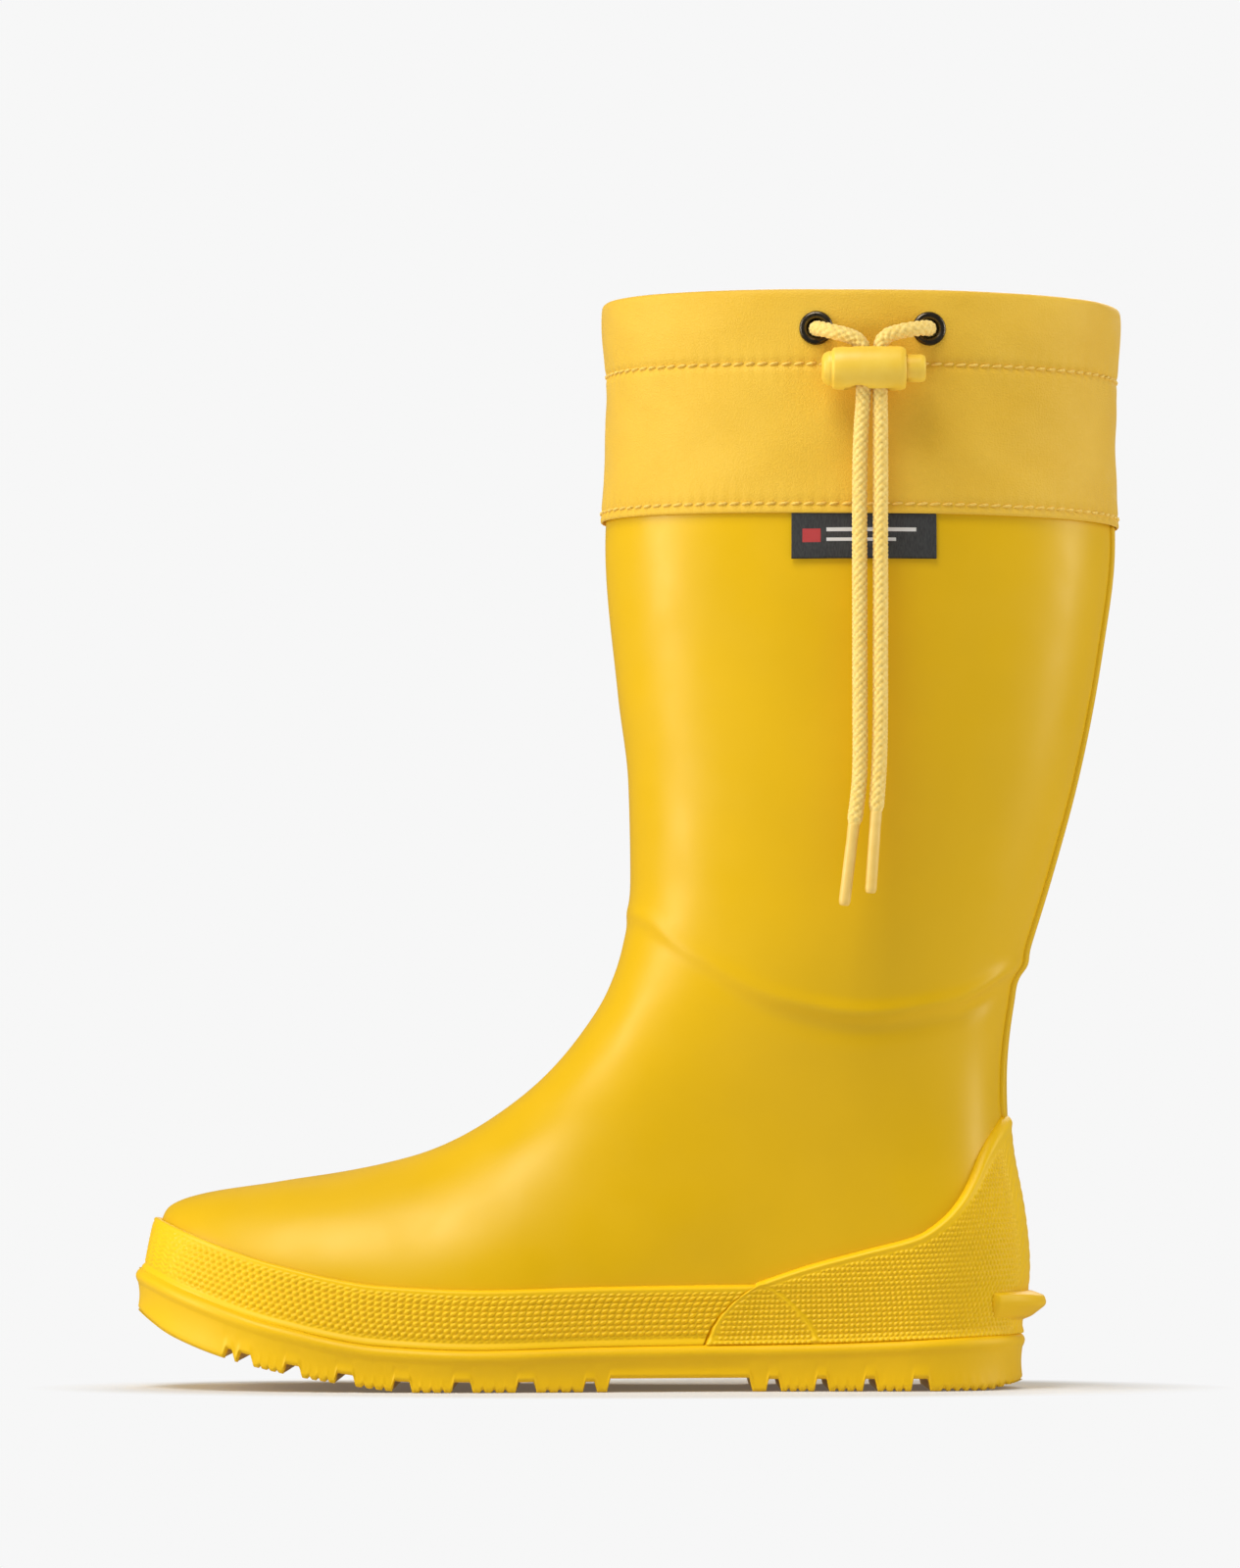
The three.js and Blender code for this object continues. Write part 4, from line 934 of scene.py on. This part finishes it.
def on_collar(angle, z, depth):
    """A point at an angle round the collar and a depth inside its outer face. The front stands higher."""
    angle, z, depth = np.broadcast_arrays(angle, z, depth)
    reach = (collar_back(z) - collar_front(z)) / 2
    width = collar_width(z)
    normal = np.stack((-np.cos(angle) / reach, -np.sin(angle) / width), axis=-1)
    normal /= np.linalg.norm(normal, axis=-1, keepdims=True)
    x = (collar_back(z) + collar_front(z)) / 2 - reach * np.cos(angle) - normal[..., 0] * depth
    y = -width * np.sin(angle) - normal[..., 1] * depth
    return x, y, z + 2.0 * np.maximum(0, np.cos(angle)) ** 1.5


def round_collar(angle):
    """Distance round the collar to an angle, from a table of the ellipse's length."""
    fine = np.linspace(-0.2, 2 * np.pi + 0.2, 3000)
    step = np.hypot(COLLAR_REACH * np.sin(fine), COLLAR_HALF_WIDTH * np.cos(fine)) * (fine[1] - fine[0])
    return np.interp(angle, fine, np.cumsum(step) - np.interp(0, fine, np.cumsum(step)))


COLLAR_ROUND = float(round_collar(2 * np.pi))
STITCHES = int(round(COLLAR_ROUND / STITCH_PITCH))


def cloth_relief(angle, z):
    """How far the cloth is pressed in, in millimetres: dents, and puckers at the two seams."""
    slow = (
        0.42 * np.sin(3 * angle + 0.05 * z + 0.7) * np.sin(0.075 * z + 1.1 * angle)
        + 0.26 * np.sin(7 * angle - 0.11 * z) * np.sin(0.13 * z - 2.3 * angle + 0.5)
        + 0.14 * np.sin(13 * angle + 0.21 * z + 1.2) * np.cos(0.17 * z + 5 * angle)
    )
    beat = 0.5 + 0.5 * np.cos(2 * np.pi * round_collar(angle) / COLLAR_ROUND * STITCHES)
    seams = 0
    for seam, depth in ((CHANNEL_STITCH, 0.75), (HEM_STITCH, 0.5)):
        seams = seams + depth * (0.6 + 0.4 * beat) * hump(z, seam, 1.5)
        seams = seams + 0.16 * (beat - 0.5) * hump(z, seam, 6.0)
    return slow * ease(z, COLLAR_BOTTOM, COLLAR_BOTTOM + 14) + seams


SECTION_STEP, INSIDE_COARSER = 1.2, 2.6
deep, seam_gap = COLLAR_WALL + TUNNEL_DEPTH, COLLAR_WALL + 0.3
collar_section = [
    (0.25, COLLAR_BOTTOM), (-0.1, COLLAR_BOTTOM + 1.0), (0, 297), (0, CHANNEL_STITCH), (-0.5, 334),
    (-0.1, COLLAR_TOP - 3), (0.25, COLLAR_TOP - 0.9), (1.4, COLLAR_TOP - 0.1), (4, COLLAR_TOP),
    (6.8, COLLAR_TOP - 1.2), (deep + COLLAR_WALL, COLLAR_TOP - 6), (deep + COLLAR_WALL, 330),
    (seam_gap + COLLAR_WALL, CHANNEL_STITCH), (seam_gap + COLLAR_WALL, CHANNEL_STITCH - 4),
    (seam_gap, CHANNEL_STITCH - 4), (seam_gap, CHANNEL_STITCH), (deep, 330), (deep, COLLAR_TOP - 6.3),
    (5.9, COLLAR_TOP - 2.2), (4, COLLAR_TOP - 1), (2.0, COLLAR_TOP - 1.3), (COLLAR_WALL, COLLAR_TOP - 3.4),
    (COLLAR_WALL, CHANNEL_STITCH), (COLLAR_WALL, 297), (COLLAR_WALL, COLLAR_BOTTOM),
]


def refined(outline, step):
    """Adds points to a closed outline so that none lie further apart than a step. The inside gets fewer."""
    made = []
    for here, after in zip(outline, np.roll(outline, -1, axis=0)):
        coarse = 1 if here[0] < 1 and after[0] < 1 else INSIDE_COARSER
        count = max(1, int(np.ceil(np.linalg.norm(after - here) / (step * coarse))))
        made += [here + (after - here) * k / count for k in range(count)]
    return np.array(made)


smooth_section = refined(softened(collar_section, 3.0, closed=True), SECTION_STEP)
section_angle = even_angles(4 * STITCHES, 0.0)
depth = smooth_section[:, :1] + np.zeros_like(section_angle)[None]
height = smooth_section[:, 1:] + np.zeros_like(section_angle)[None]
pressed = cloth_relief(section_angle[None], height)
fold_share = 1 - ease(depth, 4.5, 8.5) * 0.7
collar_points = on_collar(section_angle[None], height, depth + pressed * fold_share)
collar = grid_piece("drawstring_collar", to_frame(*collar_points), wrap_rows=True, wrap_columns=True)

# %% [markdown]
# ## Eyelets
# An eyelet is a flanged metal ring pressed through a hole in the cloth, so that the drawstring can't fray
# it. Its section is a closed outline, so that spinning it gives a ring with a real bore. The hole is cut
# through the collar's outer cloth first, and both stand square to the cloth where they sit.

# %% Eyelets
EYELET_HEIGHT, EYELET_X, EYELET_SPACING = COLLAR_TOP - 12.7, 233.9, 35.4
collar_middle = float(collar_front(EYELET_HEIGHT) + collar_back(EYELET_HEIGHT)) / 2
collar_reach = float(collar_back(EYELET_HEIGHT) - collar_front(EYELET_HEIGHT)) / 2


def eyelet_place(side):
    """Middle of an eyelet on the collar's face and the direction out of it."""
    angle = np.arccos((collar_middle - EYELET_X - side * EYELET_SPACING / 2) / collar_reach)
    face = np.array(on_collar(angle, EYELET_HEIGHT, 0.0))
    return face, np.array(on_collar(angle, EYELET_HEIGHT, -1.0)) - face


flange_outline = softened(
    [(2.9, -2.6), (3.35, -2.6), (3.35, 0.1), (5.2, 0.05), (5.45, 0.5), (5.0, 1.25), (4.3, 1.5), (3.5, 1.3),
     (2.95, 0.7)],
    0.42, closed=True,
)
eyelets = []
for name, side in (("eyelet_front", -1), ("eyelet_rear", 1)):
    face, out = eyelet_place(side)
    hole = spun("cutter", [(0, -4), (3.3, -4), (3.3, 3), (0, 3)], face, out, 48)
    carve(collar, hole)
    eyelets.append(spun(name, flange_outline, face, out, 64, closed=True))
collar.data.shade_smooth()

# %% [markdown]
# ## Stitches
# A seam shows as a row of short threads with small gaps between them, and the ends of each are pulled into
# the cloth. A hundred single objects would be slow to handle, so one seam is one mesh: a short rod is
# repeated along it, and the rod's depth follows the pucker that the collar's own formula gives.

# %% Stitches
def stitch_row(name, z, slant, thickness=0.42):
    """One seam's stitches as one mesh: short rods, round in section, that dip into the cloth at both ends."""
    rings, around = 7, 8
    share = np.linspace(-1, 1, rings)
    turns = full_turn(around)
    fine = np.linspace(0, 2 * np.pi, 6000)
    points, faces = [], []
    template = grid_faces(rings, around, False, True)
    for k in range(STITCHES):
        middle_distance = (k + 0.5) * COLLAR_ROUND / STITCHES
        distance = middle_distance + share * STITCH_PITCH * 0.43
        angle = np.interp(distance, round_collar(fine), fine)
        swell = np.sqrt(1 - 0.95 * abs(share) ** 3.5)
        lift = z + slant * share
        press = cloth_relief(angle, z * np.ones_like(angle))
        ring_angle = angle[:, None] + 0 * turns
        radius = thickness * swell[:, None]
        ring_z = lift[:, None] + radius * np.cos(turns)
        ring_depth = press[:, None] - (0.3 * swell + 0.02)[:, None] - radius * np.sin(turns)
        points.append(to_frame(*on_collar(ring_angle, ring_z, ring_depth)).reshape(-1, 3))
        faces.append(template + k * rings * around)
    piece = mesh_piece(name, np.concatenate(points), np.concatenate(faces))
    return close_ends(piece)


channel_seam = stitch_row("channel_seam", CHANNEL_STITCH, 0.28)
hem_seam = stitch_row("hem_seam", HEM_STITCH, 0.24)
print(STITCHES, "stitches in each row")

# %% [markdown]
# ## Woven label
# The label is a strip of dark satin ribbon whose top edge is caught under the collar's hem. It lies on
# the leg and lifts a little at its lower edge and corners. The sheet is a grid on the last with a front
# and a back, and its UV square carries the plain bars, so that they bend with the cloth.

# %% Woven label
label_middle = float(collar_front(COLLAR_BOTTOM) + collar_back(COLLAR_BOTTOM)) / 2 - 0.5
LABEL_WIDTH, LABEL_DROP = 45.2, 14.2
u, v = np.meshgrid(np.linspace(0, 1, 91), np.linspace(0, 1, 31))
label_x = label_middle + (u - 0.5) * LABEL_WIDTH
label_z = COLLAR_BOTTOM + 1.0 - v * (LABEL_DROP + 1.0)
label_lift = label_z - SHAFT_RISE
curl = 0.3 + 0.35 * ease(v, 0.2, 1) * (0.5 + 0.5 * np.sin(5.1 * u + 0.4)) + 0.25 * (2 * u - 1) ** 8 * v
angle = angle_at(label_x, label_lift)
front_face = skin_points(angle, label_lift, curl + 0.55)
back_face = skin_points(angle, label_lift, curl)
label_points = np.concatenate((front_face, back_face[::-1]))
face_uv = np.stack((u, 1 - v), axis=-1)
label_uv = np.concatenate((face_uv, face_uv[::-1]))
label_faces = grid_faces(*label_points.shape[:2], True, False)
label = mesh_piece("woven_flap", placed(label_points), label_faces, label_uv)
close_ends(label)

# %% [markdown]
# ## Insole
# A loose foam footbed lies on the board inside. It follows the sole's plan, a little smaller, and its
# upper face is dished. Each section across it is a superellipse, a rectangle with soft corners, and the
# sections are strung along the boot.

# %% Insole
def sole_plate(name, inset, low, thickness, columns=150, crown=0.0):
    """A plate in the shell that follows the sole's plan, with round edges and a dished upper face."""
    even = np.linspace(0, np.pi, columns)
    xs = inset + 0.05 + (SOLE_LENGTH - 2 * inset - 0.1) * (1 - np.cos(even)) / 2
    section = full_turn(40)
    across = np.sign(np.cos(section)) * abs(np.cos(section)) ** 0.35
    up = 0.5 + 0.5 * np.sign(np.sin(section)) * abs(np.sin(section)) ** 0.45
    rows = []
    for x in xs:
        width = np.where(across < 0, sole_width(-1, x, inset), sole_width(1, x, inset))
        dish = crown * (abs(across) ** 2 - 0.5) * (up > 0.5)
        y = middle_line(x, 0) + across * np.maximum(width, 0.02)
        z = rise(x, low) + thickness * up + dish
        rows.append(np.stack((np.full_like(y, x), y, z), axis=-1))
    grid = capped(np.array(rows))
    return grid_piece(name, placed(grid), wrap_columns=True)


insole = sole_plate("foam_insole", 11, 7.1, 5.0, crown=0.9)

# %% [markdown]
# ## Finishes
# Every material is a principled shader with a little noise: rubber is never perfectly even in colour or
# gloss. The noise is read from object coordinates, in metres, so it sticks to the piece. Raising and
# lowering the colour by only a few per cent keeps each piece one yellow. The sole's and the bands' rubber
# is a lighter copy of the leg's yellow: painted light, for the brighter light on the lower boot.

# %% Material helpers
def principled(name, colour, roughness, specular=0.5, metallic=0.0):
    """A new material with a principled shader, and its node tree and shader for further work."""
    material = bpy.data.materials.new(name)
    material.use_nodes = True
    shader = material.node_tree.nodes["Principled BSDF"]
    shader.inputs["Base Color"].default_value = (*colour, 1)
    shader.inputs["Roughness"].default_value = roughness
    shader.inputs["Specular IOR Level"].default_value = specular
    shader.inputs["Metallic"].default_value = metallic
    return material, material.node_tree, shader


def add_node(tree, kind, **settings):
    """A node with some of its inputs or properties set by name."""
    node = tree.nodes.new(kind)
    for key, value in settings.items():
        if key in node.inputs:
            node.inputs[key].default_value = value
        else:
            setattr(node, key, value)
    return node


def noise(tree, scale, detail=3.0, stretch=(1, 1, 1)):
    """Noise on object coordinates; scale is in features per metre."""
    coordinates = add_node(tree, "ShaderNodeTexCoord")
    mapping = add_node(tree, "ShaderNodeMapping")
    mapping.inputs["Scale"].default_value = stretch
    texture = add_node(tree, "ShaderNodeTexNoise", Scale=scale, Detail=detail)
    tree.links.new(coordinates.outputs["Object"], mapping.inputs["Vector"])
    tree.links.new(mapping.outputs["Vector"], texture.inputs["Vector"])
    return texture.outputs["Fac"]


def ramp(tree, factor, stops):
    """A colour ramp over a factor: stops are (place, linear colour)."""
    node = tree.nodes.new("ShaderNodeValToRGB")
    while len(node.color_ramp.elements) < len(stops):
        node.color_ramp.elements.new(0.5)
    for element, (place, colour) in zip(node.color_ramp.elements, stops):
        element.position, element.color = place, (*colour, 1)
    tree.links.new(factor, node.inputs["Fac"])
    return node.outputs["Color"]


def spread(tree, factor, low, high, out_low, out_high):
    """Maps a factor from one range to another, clamped."""
    node = add_node(tree, "ShaderNodeMapRange")
    for name, value in (("From Min", low), ("From Max", high), ("To Min", out_low), ("To Max", out_high)):
        node.inputs[name].default_value = value
    tree.links.new(factor, node.inputs["Value"])
    return node.outputs["Result"]


def bumpy(tree, shader, height, strength, distance):
    """Adds a bump to whatever already tilts the shader's normal."""
    bump = add_node(tree, "ShaderNodeBump", Strength=strength, Distance=distance)
    tree.links.new(height, bump.inputs["Height"])
    if shader.inputs["Normal"].is_linked:
        tree.links.new(shader.inputs["Normal"].links[0].from_socket, bump.inputs["Normal"])
    tree.links.new(bump.outputs["Normal"], shader.inputs["Normal"])


def mottled(tree, shader, scale, detail, dark, light, low=0.3, high=0.7):
    """Lets the colour drift between two shades."""
    tint = ramp(tree, noise(tree, scale, detail), [(low, dark), (high, light)])
    tree.links.new(tint, shader.inputs["Base Color"])


def patchy_gloss(tree, shader, scale, detail, low, high):
    """Lets the roughness drift between two values."""
    gloss = spread(tree, noise(tree, scale, detail), 0.3, 0.7, low, high)
    tree.links.new(gloss, shader.inputs["Roughness"])


def shades(colour, share):
    """Two shades of a linear colour, a share darker and lighter."""
    return tuple(c * (1 - share) for c in colour), tuple(min(1, c * (1 + share)) for c in colour)


def rubber(name, colour, roughness, uneven=0.04, skin=0.25):
    """Moulded rubber: slow changes of shade and gloss, a faint orange-peel skin, and broad soft waves."""
    material, tree, shader = principled(name, colour, roughness, 0.5)
    shader.inputs["Specular Tint"].default_value = (1.0, 0.95, 0.6, 1)
    dark, light = shades(colour, uneven)
    mottled(tree, shader, 16, 4, dark, light)
    patchy_gloss(tree, shader, 60, 5, roughness - 0.05, roughness + 0.06)
    bumpy(tree, shader, noise(tree, 22, 2), 0.35, 0.0009)
    bumpy(tree, shader, noise(tree, 900, 3), skin, 0.00006)
    return material


# %% Materials
shaft_rubber = rubber("shaft_rubber", (0.79, 0.464, 0.0005), 0.38)
# The sole's and the bands' rubber are lighter copies of the leg's yellow: painted light, for the brighter
# light that reaches the low boot.
sole_rubber = rubber("sole_rubber", (0.89, 0.525, 0.001), 0.46, 0.05)
textured_rubber = rubber("textured_rubber", (0.93, 0.565, 0.001), 0.44, 0.05, 0.15)

collar_cloth, tree, shader = principled("collar_cloth", (0.86, 0.56, 0.055), 0.5, 0.4)
shader.inputs["Specular Tint"].default_value = (1.0, 0.9, 0.62, 1)
shader.inputs["Sheen Weight"].default_value = 0.06
mottled(tree, shader, 30, 5, (0.79, 0.46, 0.028), (0.86, 0.53, 0.05), 0.3, 0.72)
coordinates = add_node(tree, "ShaderNodeTexCoord")
cells = add_node(tree, "ShaderNodeTexVoronoi", Scale=1050.0, feature="DISTANCE_TO_EDGE")
tree.links.new(coordinates.outputs["Object"], cells.inputs["Vector"])
bumpy(tree, shader, spread(tree, cells.outputs["Distance"], 0.0, 0.22, 0.0, 1.0), 0.42, 0.00016)
bumpy(tree, shader, noise(tree, 2600, 2), 0.2, 0.00005)

lining_knit, tree, shader = principled("lining_knit", (0.69, 0.65, 0.55), 0.9, 0.2)
mottled(tree, shader, 45, 4, (0.6, 0.56, 0.47), (0.74, 0.7, 0.6))
bumpy(tree, shader, noise(tree, 1500, 2, (1, 1, 0.35)), 0.7, 0.0003)

insole_foam, tree, shader = principled("insole_foam", (0.068, 0.068, 0.072), 0.92, 0.2)
mottled(tree, shader, 1800, 2, (0.04, 0.04, 0.043), (0.11, 0.11, 0.115), 0.35, 0.65)
bumpy(tree, shader, noise(tree, 1400, 2), 0.6, 0.0003)

board_fibre, tree, shader = principled("board_fibre", (0.48, 0.33, 0.15), 0.85, 0.2)
mottled(tree, shader, 700, 4, (0.4, 0.26, 0.11), (0.55, 0.4, 0.2), 0.35, 0.65)

thread, tree, shader = principled("thread", (0.86, 0.56, 0.08), 0.6, 0.3)
shader.inputs["Sheen Weight"].default_value = 0.2
mottled(tree, shader, 1200, 2, (0.78, 0.48, 0.05), (0.93, 0.64, 0.13))

gunmetal, tree, shader = principled("gunmetal", (0.1, 0.085, 0.06), 0.28, 0.5, 1.0)
patchy_gloss(tree, shader, 800, 3, 0.22, 0.36)
mottled(tree, shader, 300, 2, (0.085, 0.07, 0.05), (0.13, 0.11, 0.08))

cord_yellow, tree, shader = principled("cord_yellow", (0.94, 0.69, 0.19), 0.75, 0.25)
shader.inputs["Sheen Weight"].default_value = 0.25
mottled(tree, shader, 900, 3, (0.9, 0.59, 0.12), (0.98, 0.73, 0.23))
bumpy(tree, shader, noise(tree, 5000, 2), 0.3, 0.00008)

tip_plastic, tree, shader = principled("tip_plastic", (0.9, 0.6, 0.14), 0.38, 0.45)
mottled(tree, shader, 200, 3, (0.87, 0.56, 0.12), (0.93, 0.63, 0.17))
bumpy(tree, shader, noise(tree, 700, 2), 0.15, 0.0001)

lock_plastic, tree, shader = principled("lock_plastic", (0.92, 0.6, 0.06), 0.4, 0.42)
mottled(tree, shader, 150, 3, (0.89, 0.56, 0.045), (0.94, 0.63, 0.075))
bumpy(tree, shader, noise(tree, 1500, 2), 0.2, 0.00004)

spring_steel, tree, shader = principled("spring_steel", (0.5, 0.5, 0.52), 0.3, 0.5, 1.0)
patchy_gloss(tree, shader, 900, 2, 0.25, 0.38)

# The label's cloth is satin: long floats one way. Its printed bars are plain blocks placed by its own UV.
label_weave, tree, shader = principled("label_weave", (0.019, 0.02, 0.02), 0.55, 0.5)
label_uv_node = add_node(tree, "ShaderNodeUVMap", uv_map="UVMap")
parts = add_node(tree, "ShaderNodeSeparateXYZ")
tree.links.new(label_uv_node.outputs["UV"], parts.inputs["Vector"])


def block_mask(tree, parts, u_low, u_high, v_low, v_high):
    """1 inside a rectangle of the UV square and 0 outside it."""
    masks = []
    for output, low, high in (("X", u_low, u_high), ("Y", v_low, v_high)):
        for operation, limit in (("GREATER_THAN", low), ("LESS_THAN", high)):
            node = add_node(tree, "ShaderNodeMath", operation=operation)
            node.inputs[1].default_value = limit
            tree.links.new(parts.outputs[output], node.inputs[0])
            masks.append(node.outputs[0])
    product = masks[0]
    for mask in masks[1:]:
        node = add_node(tree, "ShaderNodeMath", operation="MULTIPLY")
        tree.links.new(product, node.inputs[0])
        tree.links.new(mask, node.inputs[1])
        product = node.outputs[0]
    return product


weave_shades = [(0.35, (0.012, 0.013, 0.013)), (0.65, (0.03, 0.031, 0.03))]
colour = ramp(tree, noise(tree, 3000, 1, (1, 1, 0.2)), weave_shades)
red, pale = (0.5, 0.03, 0.03), (0.7, 0.69, 0.66)
for u_low, u_high, v_low, v_high, ink in (
    (0.075, 0.2, 0.34, 0.62, red), (0.24, 0.86, 0.56, 0.64, pale), (0.24, 0.72, 0.36, 0.43, pale),
):
    mix = add_node(tree, "ShaderNodeMixRGB")
    mix.inputs["Color2"].default_value = (*ink, 1)
    tree.links.new(block_mask(tree, parts, u_low, u_high, v_low, v_high), mix.inputs["Fac"])
    tree.links.new(colour, mix.inputs["Color1"])
    colour = mix.outputs["Color"]
tree.links.new(colour, shader.inputs["Base Color"])
weave = add_node(tree, "ShaderNodeTexWave", Scale=95.0, Distortion=0.4, bands_direction="Y")
tree.links.new(label_uv_node.outputs["UV"], weave.inputs["Vector"])
bumpy(tree, shader, weave.outputs["Fac"], 0.4, 0.0001)

# %% [markdown]
# ## Pieces take their finish, their body and their place in the frame
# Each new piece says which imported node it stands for, which body carries it, and which of the record's
# finishes it has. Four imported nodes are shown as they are, because they are plain or hidden.

# %% Joining the frame
joined = [
    (outsole, "outsole", "boot", sole_rubber, "sole_rubber"),
    (upper_shell, "upper_shell", "boot", shaft_rubber, "shaft_rubber"),
    (lining, "lining", "boot", lining_knit, "lining_knit"),
    (insole, "insole", "boot", insole_foam, "insole_foam"),
    (foxing_band, "foxing_band", "boot", textured_rubber, "textured_rubber"),
    (heel_counter, "heel_counter", "boot", textured_rubber, "textured_rubber"),
    (kick_spur, "kick_spur", "boot", sole_rubber, "sole_rubber"),
    (back_stay, "back_stay", "boot", shaft_rubber, "shaft_rubber"),
    (collar, "collar", "boot", collar_cloth, "collar_cloth"),
    (channel_seam, "channel_stitching", "boot", thread, "thread"),
    (hem_seam, "hem_stitching", "boot", thread, "thread"),
    (eyelets[0], "front_eyelet", "boot", gunmetal, "gunmetal"),
    (eyelets[1], "rear_eyelet", "boot", gunmetal, "gunmetal"),
    (label, "woven_label", "boot", label_weave, "label_weave"),
    (front_cord, "drawstring_front_end", "boot", cord_yellow, "cord"),
    (rear_cord, "drawstring_rear_end", "boot", cord_yellow, "cord"),
    (front_tip, "front_cord_tip", "boot", tip_plastic, "cord_tip"),
    (rear_tip, "rear_cord_tip", "boot", tip_plastic, "cord_tip"),
    (lock_barrel, "lock_barrel", "cord_lock", lock_plastic, "lock_plastic"),
    (lock_button, "lock_button", "lock_plunger", lock_plastic, "lock_plastic"),
    (lock_spring, "lock_spring", "cord_lock", spring_steel, "spring_steel"),
]
for piece, node, body, material, slot_name in joined:
    piece.data.materials.clear()
    piece.data.materials.append(material)
    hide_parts(node)
    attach(piece, body)
for node, material in (
    ("insole_board", board_fibre), ("front_eyelet_washer", gunmetal), ("rear_eyelet_washer", gunmetal),
    ("drawstring_channel_run", cord_yellow),
):
    for material_slot in nodes[node].material_slots:
        material_slot.material = material
spring_end = to_frame(spring_low, LOCK_Y, LOCK_Z).tolist()
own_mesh(lock_spring)
print(len(joined), "new pieces")

# %% [markdown]
# ## Where the cords leave the boot
# For each end of the drawstring, the point where it leaves the eyelet's mouth, its length and its centre
# line are worked out in the frame.

# %% Soft goods
EYELET_MOUTH_Y = -52.4
for cord, route, tip in ((front_cord, FRONT_ROUTE, front_tip), (rear_cord, REAR_ROUTE, rear_tip)):
    centre, distance = along_route(route, 90)
    leaves = centre[np.argmin(abs(centre[:, 1] - EYELET_MOUTH_Y))]
    to_frame(*leaves).tolist()
    to_frame(*centre.T).tolist()

# %% [markdown]
# ## Floor and light
# Round the boot the floor is pale and takes its shadow. Further out it takes none and glows as brightly as
# the sky that the camera sees, so no edge shows between them. The light comes from a dimmer sky, so that the
# rubber isn't washed out. A big lamp overhead lights the vertical faces without mirroring in them. A tall
# strip on the left draws the broad highlight down the leg, and a weaker one on the right lifts the heel.

# %% Floor
BACKGROUND, FLOOR_PALE, FLOOR_GLOW = 0.93, 0.68, 0.07
SHADOW_LENGTH, SHADOW_WIDTH, SHADOW_FADE = 0.155, 0.08, 1.25
corners = [[[-9, -9, 0], [9, -9, 0]], [[-9, 9, 0], [9, 9, 0]]]
floor = mesh_piece("floor", np.array(corners, float), grid_faces(2, 2, False, False))
floor_paint, tree, shader = principled("floor_paint", (0.8, 0.8, 0.8), 0.95, 0.0)
shader.inputs["Emission Color"].default_value = (1, 1, 1, 1)
flat = add_node(tree, "ShaderNodeMapping")
flat.inputs["Scale"].default_value = (1 / SHADOW_LENGTH, 1 / SHADOW_WIDTH, 1)
reach = add_node(tree, "ShaderNodeVectorMath", operation="LENGTH")
tree.links.new(add_node(tree, "ShaderNodeTexCoord").outputs["Object"], flat.inputs["Vector"])
tree.links.new(flat.outputs["Vector"], reach.inputs[0])
outside = spread(tree, reach.outputs["Value"], 1.0, SHADOW_FADE, 0.0, 1.0)
tree.links.new(ramp(tree, outside, [(0, (FLOOR_PALE,) * 3), (1, (0, 0, 0))]), shader.inputs["Base Color"])
tree.links.new(spread(tree, outside, 0, 1, FLOOR_GLOW, BACKGROUND), shader.inputs["Emission Strength"])
floor.data.materials.append(floor_paint)
floor.visible_glossy = False

# %% Sky
world = bpy.data.worlds.new("studio")
world.use_nodes = True
bpy.context.scene.world = world
sky = world.node_tree
light_path = sky.nodes.new("ShaderNodeLightPath")
seen, lighting = sky.nodes["Background"], sky.nodes.new("ShaderNodeBackground")
seen.inputs["Color"].default_value = (1, 1, 1, 1)
seen.inputs["Strength"].default_value = BACKGROUND
lighting.inputs["Color"].default_value = (1, 0.99, 0.97, 1)
lighting.inputs["Strength"].default_value = 0.17
choose = sky.nodes.new("ShaderNodeMixShader")
sky.links.new(light_path.outputs["Is Camera Ray"], choose.inputs[0])
sky.links.new(lighting.outputs[0], choose.inputs[1])
sky.links.new(seen.outputs[0], choose.inputs[2])
sky.links.new(choose.outputs[0], sky.nodes["World Output"].inputs[0])


# %% Lamps
def soft_lamp(name, place, target, size, power):
    """A square lamp at a place, turned to a target."""
    data = bpy.data.lights.new(name, "AREA")
    data.shape, data.size, data.size_y, data.energy = "RECTANGLE", size[0], size[1], power
    lamp = bpy.data.objects.new(name, data)
    lamp.location = place
    lamp.rotation_euler = (Vector(target) - Vector(place)).to_track_quat("-Z", "Y").to_euler()
    bpy.context.scene.collection.objects.link(lamp)
    return lamp


soft_lamp("overhead", (-0.6, -1.05, 2.2), (0, 0, 0.1), (1.2, 1.2), 37)
soft_lamp("left_strip", (-1.65, -0.5, 0.62), (0, 0, 0.15), (0.45, 1.5), 18)
soft_lamp("right_strip", (1.7, -0.1, 0.7), (0.05, 0, 0.15), (0.35, 1.4), 11)
soft_lamp("back_fill", (0.5, 1.6, 1.3), (0, 0, 0.15), (1.2, 1.2), 16)
bpy.context.scene.view_settings.view_transform = "Standard"
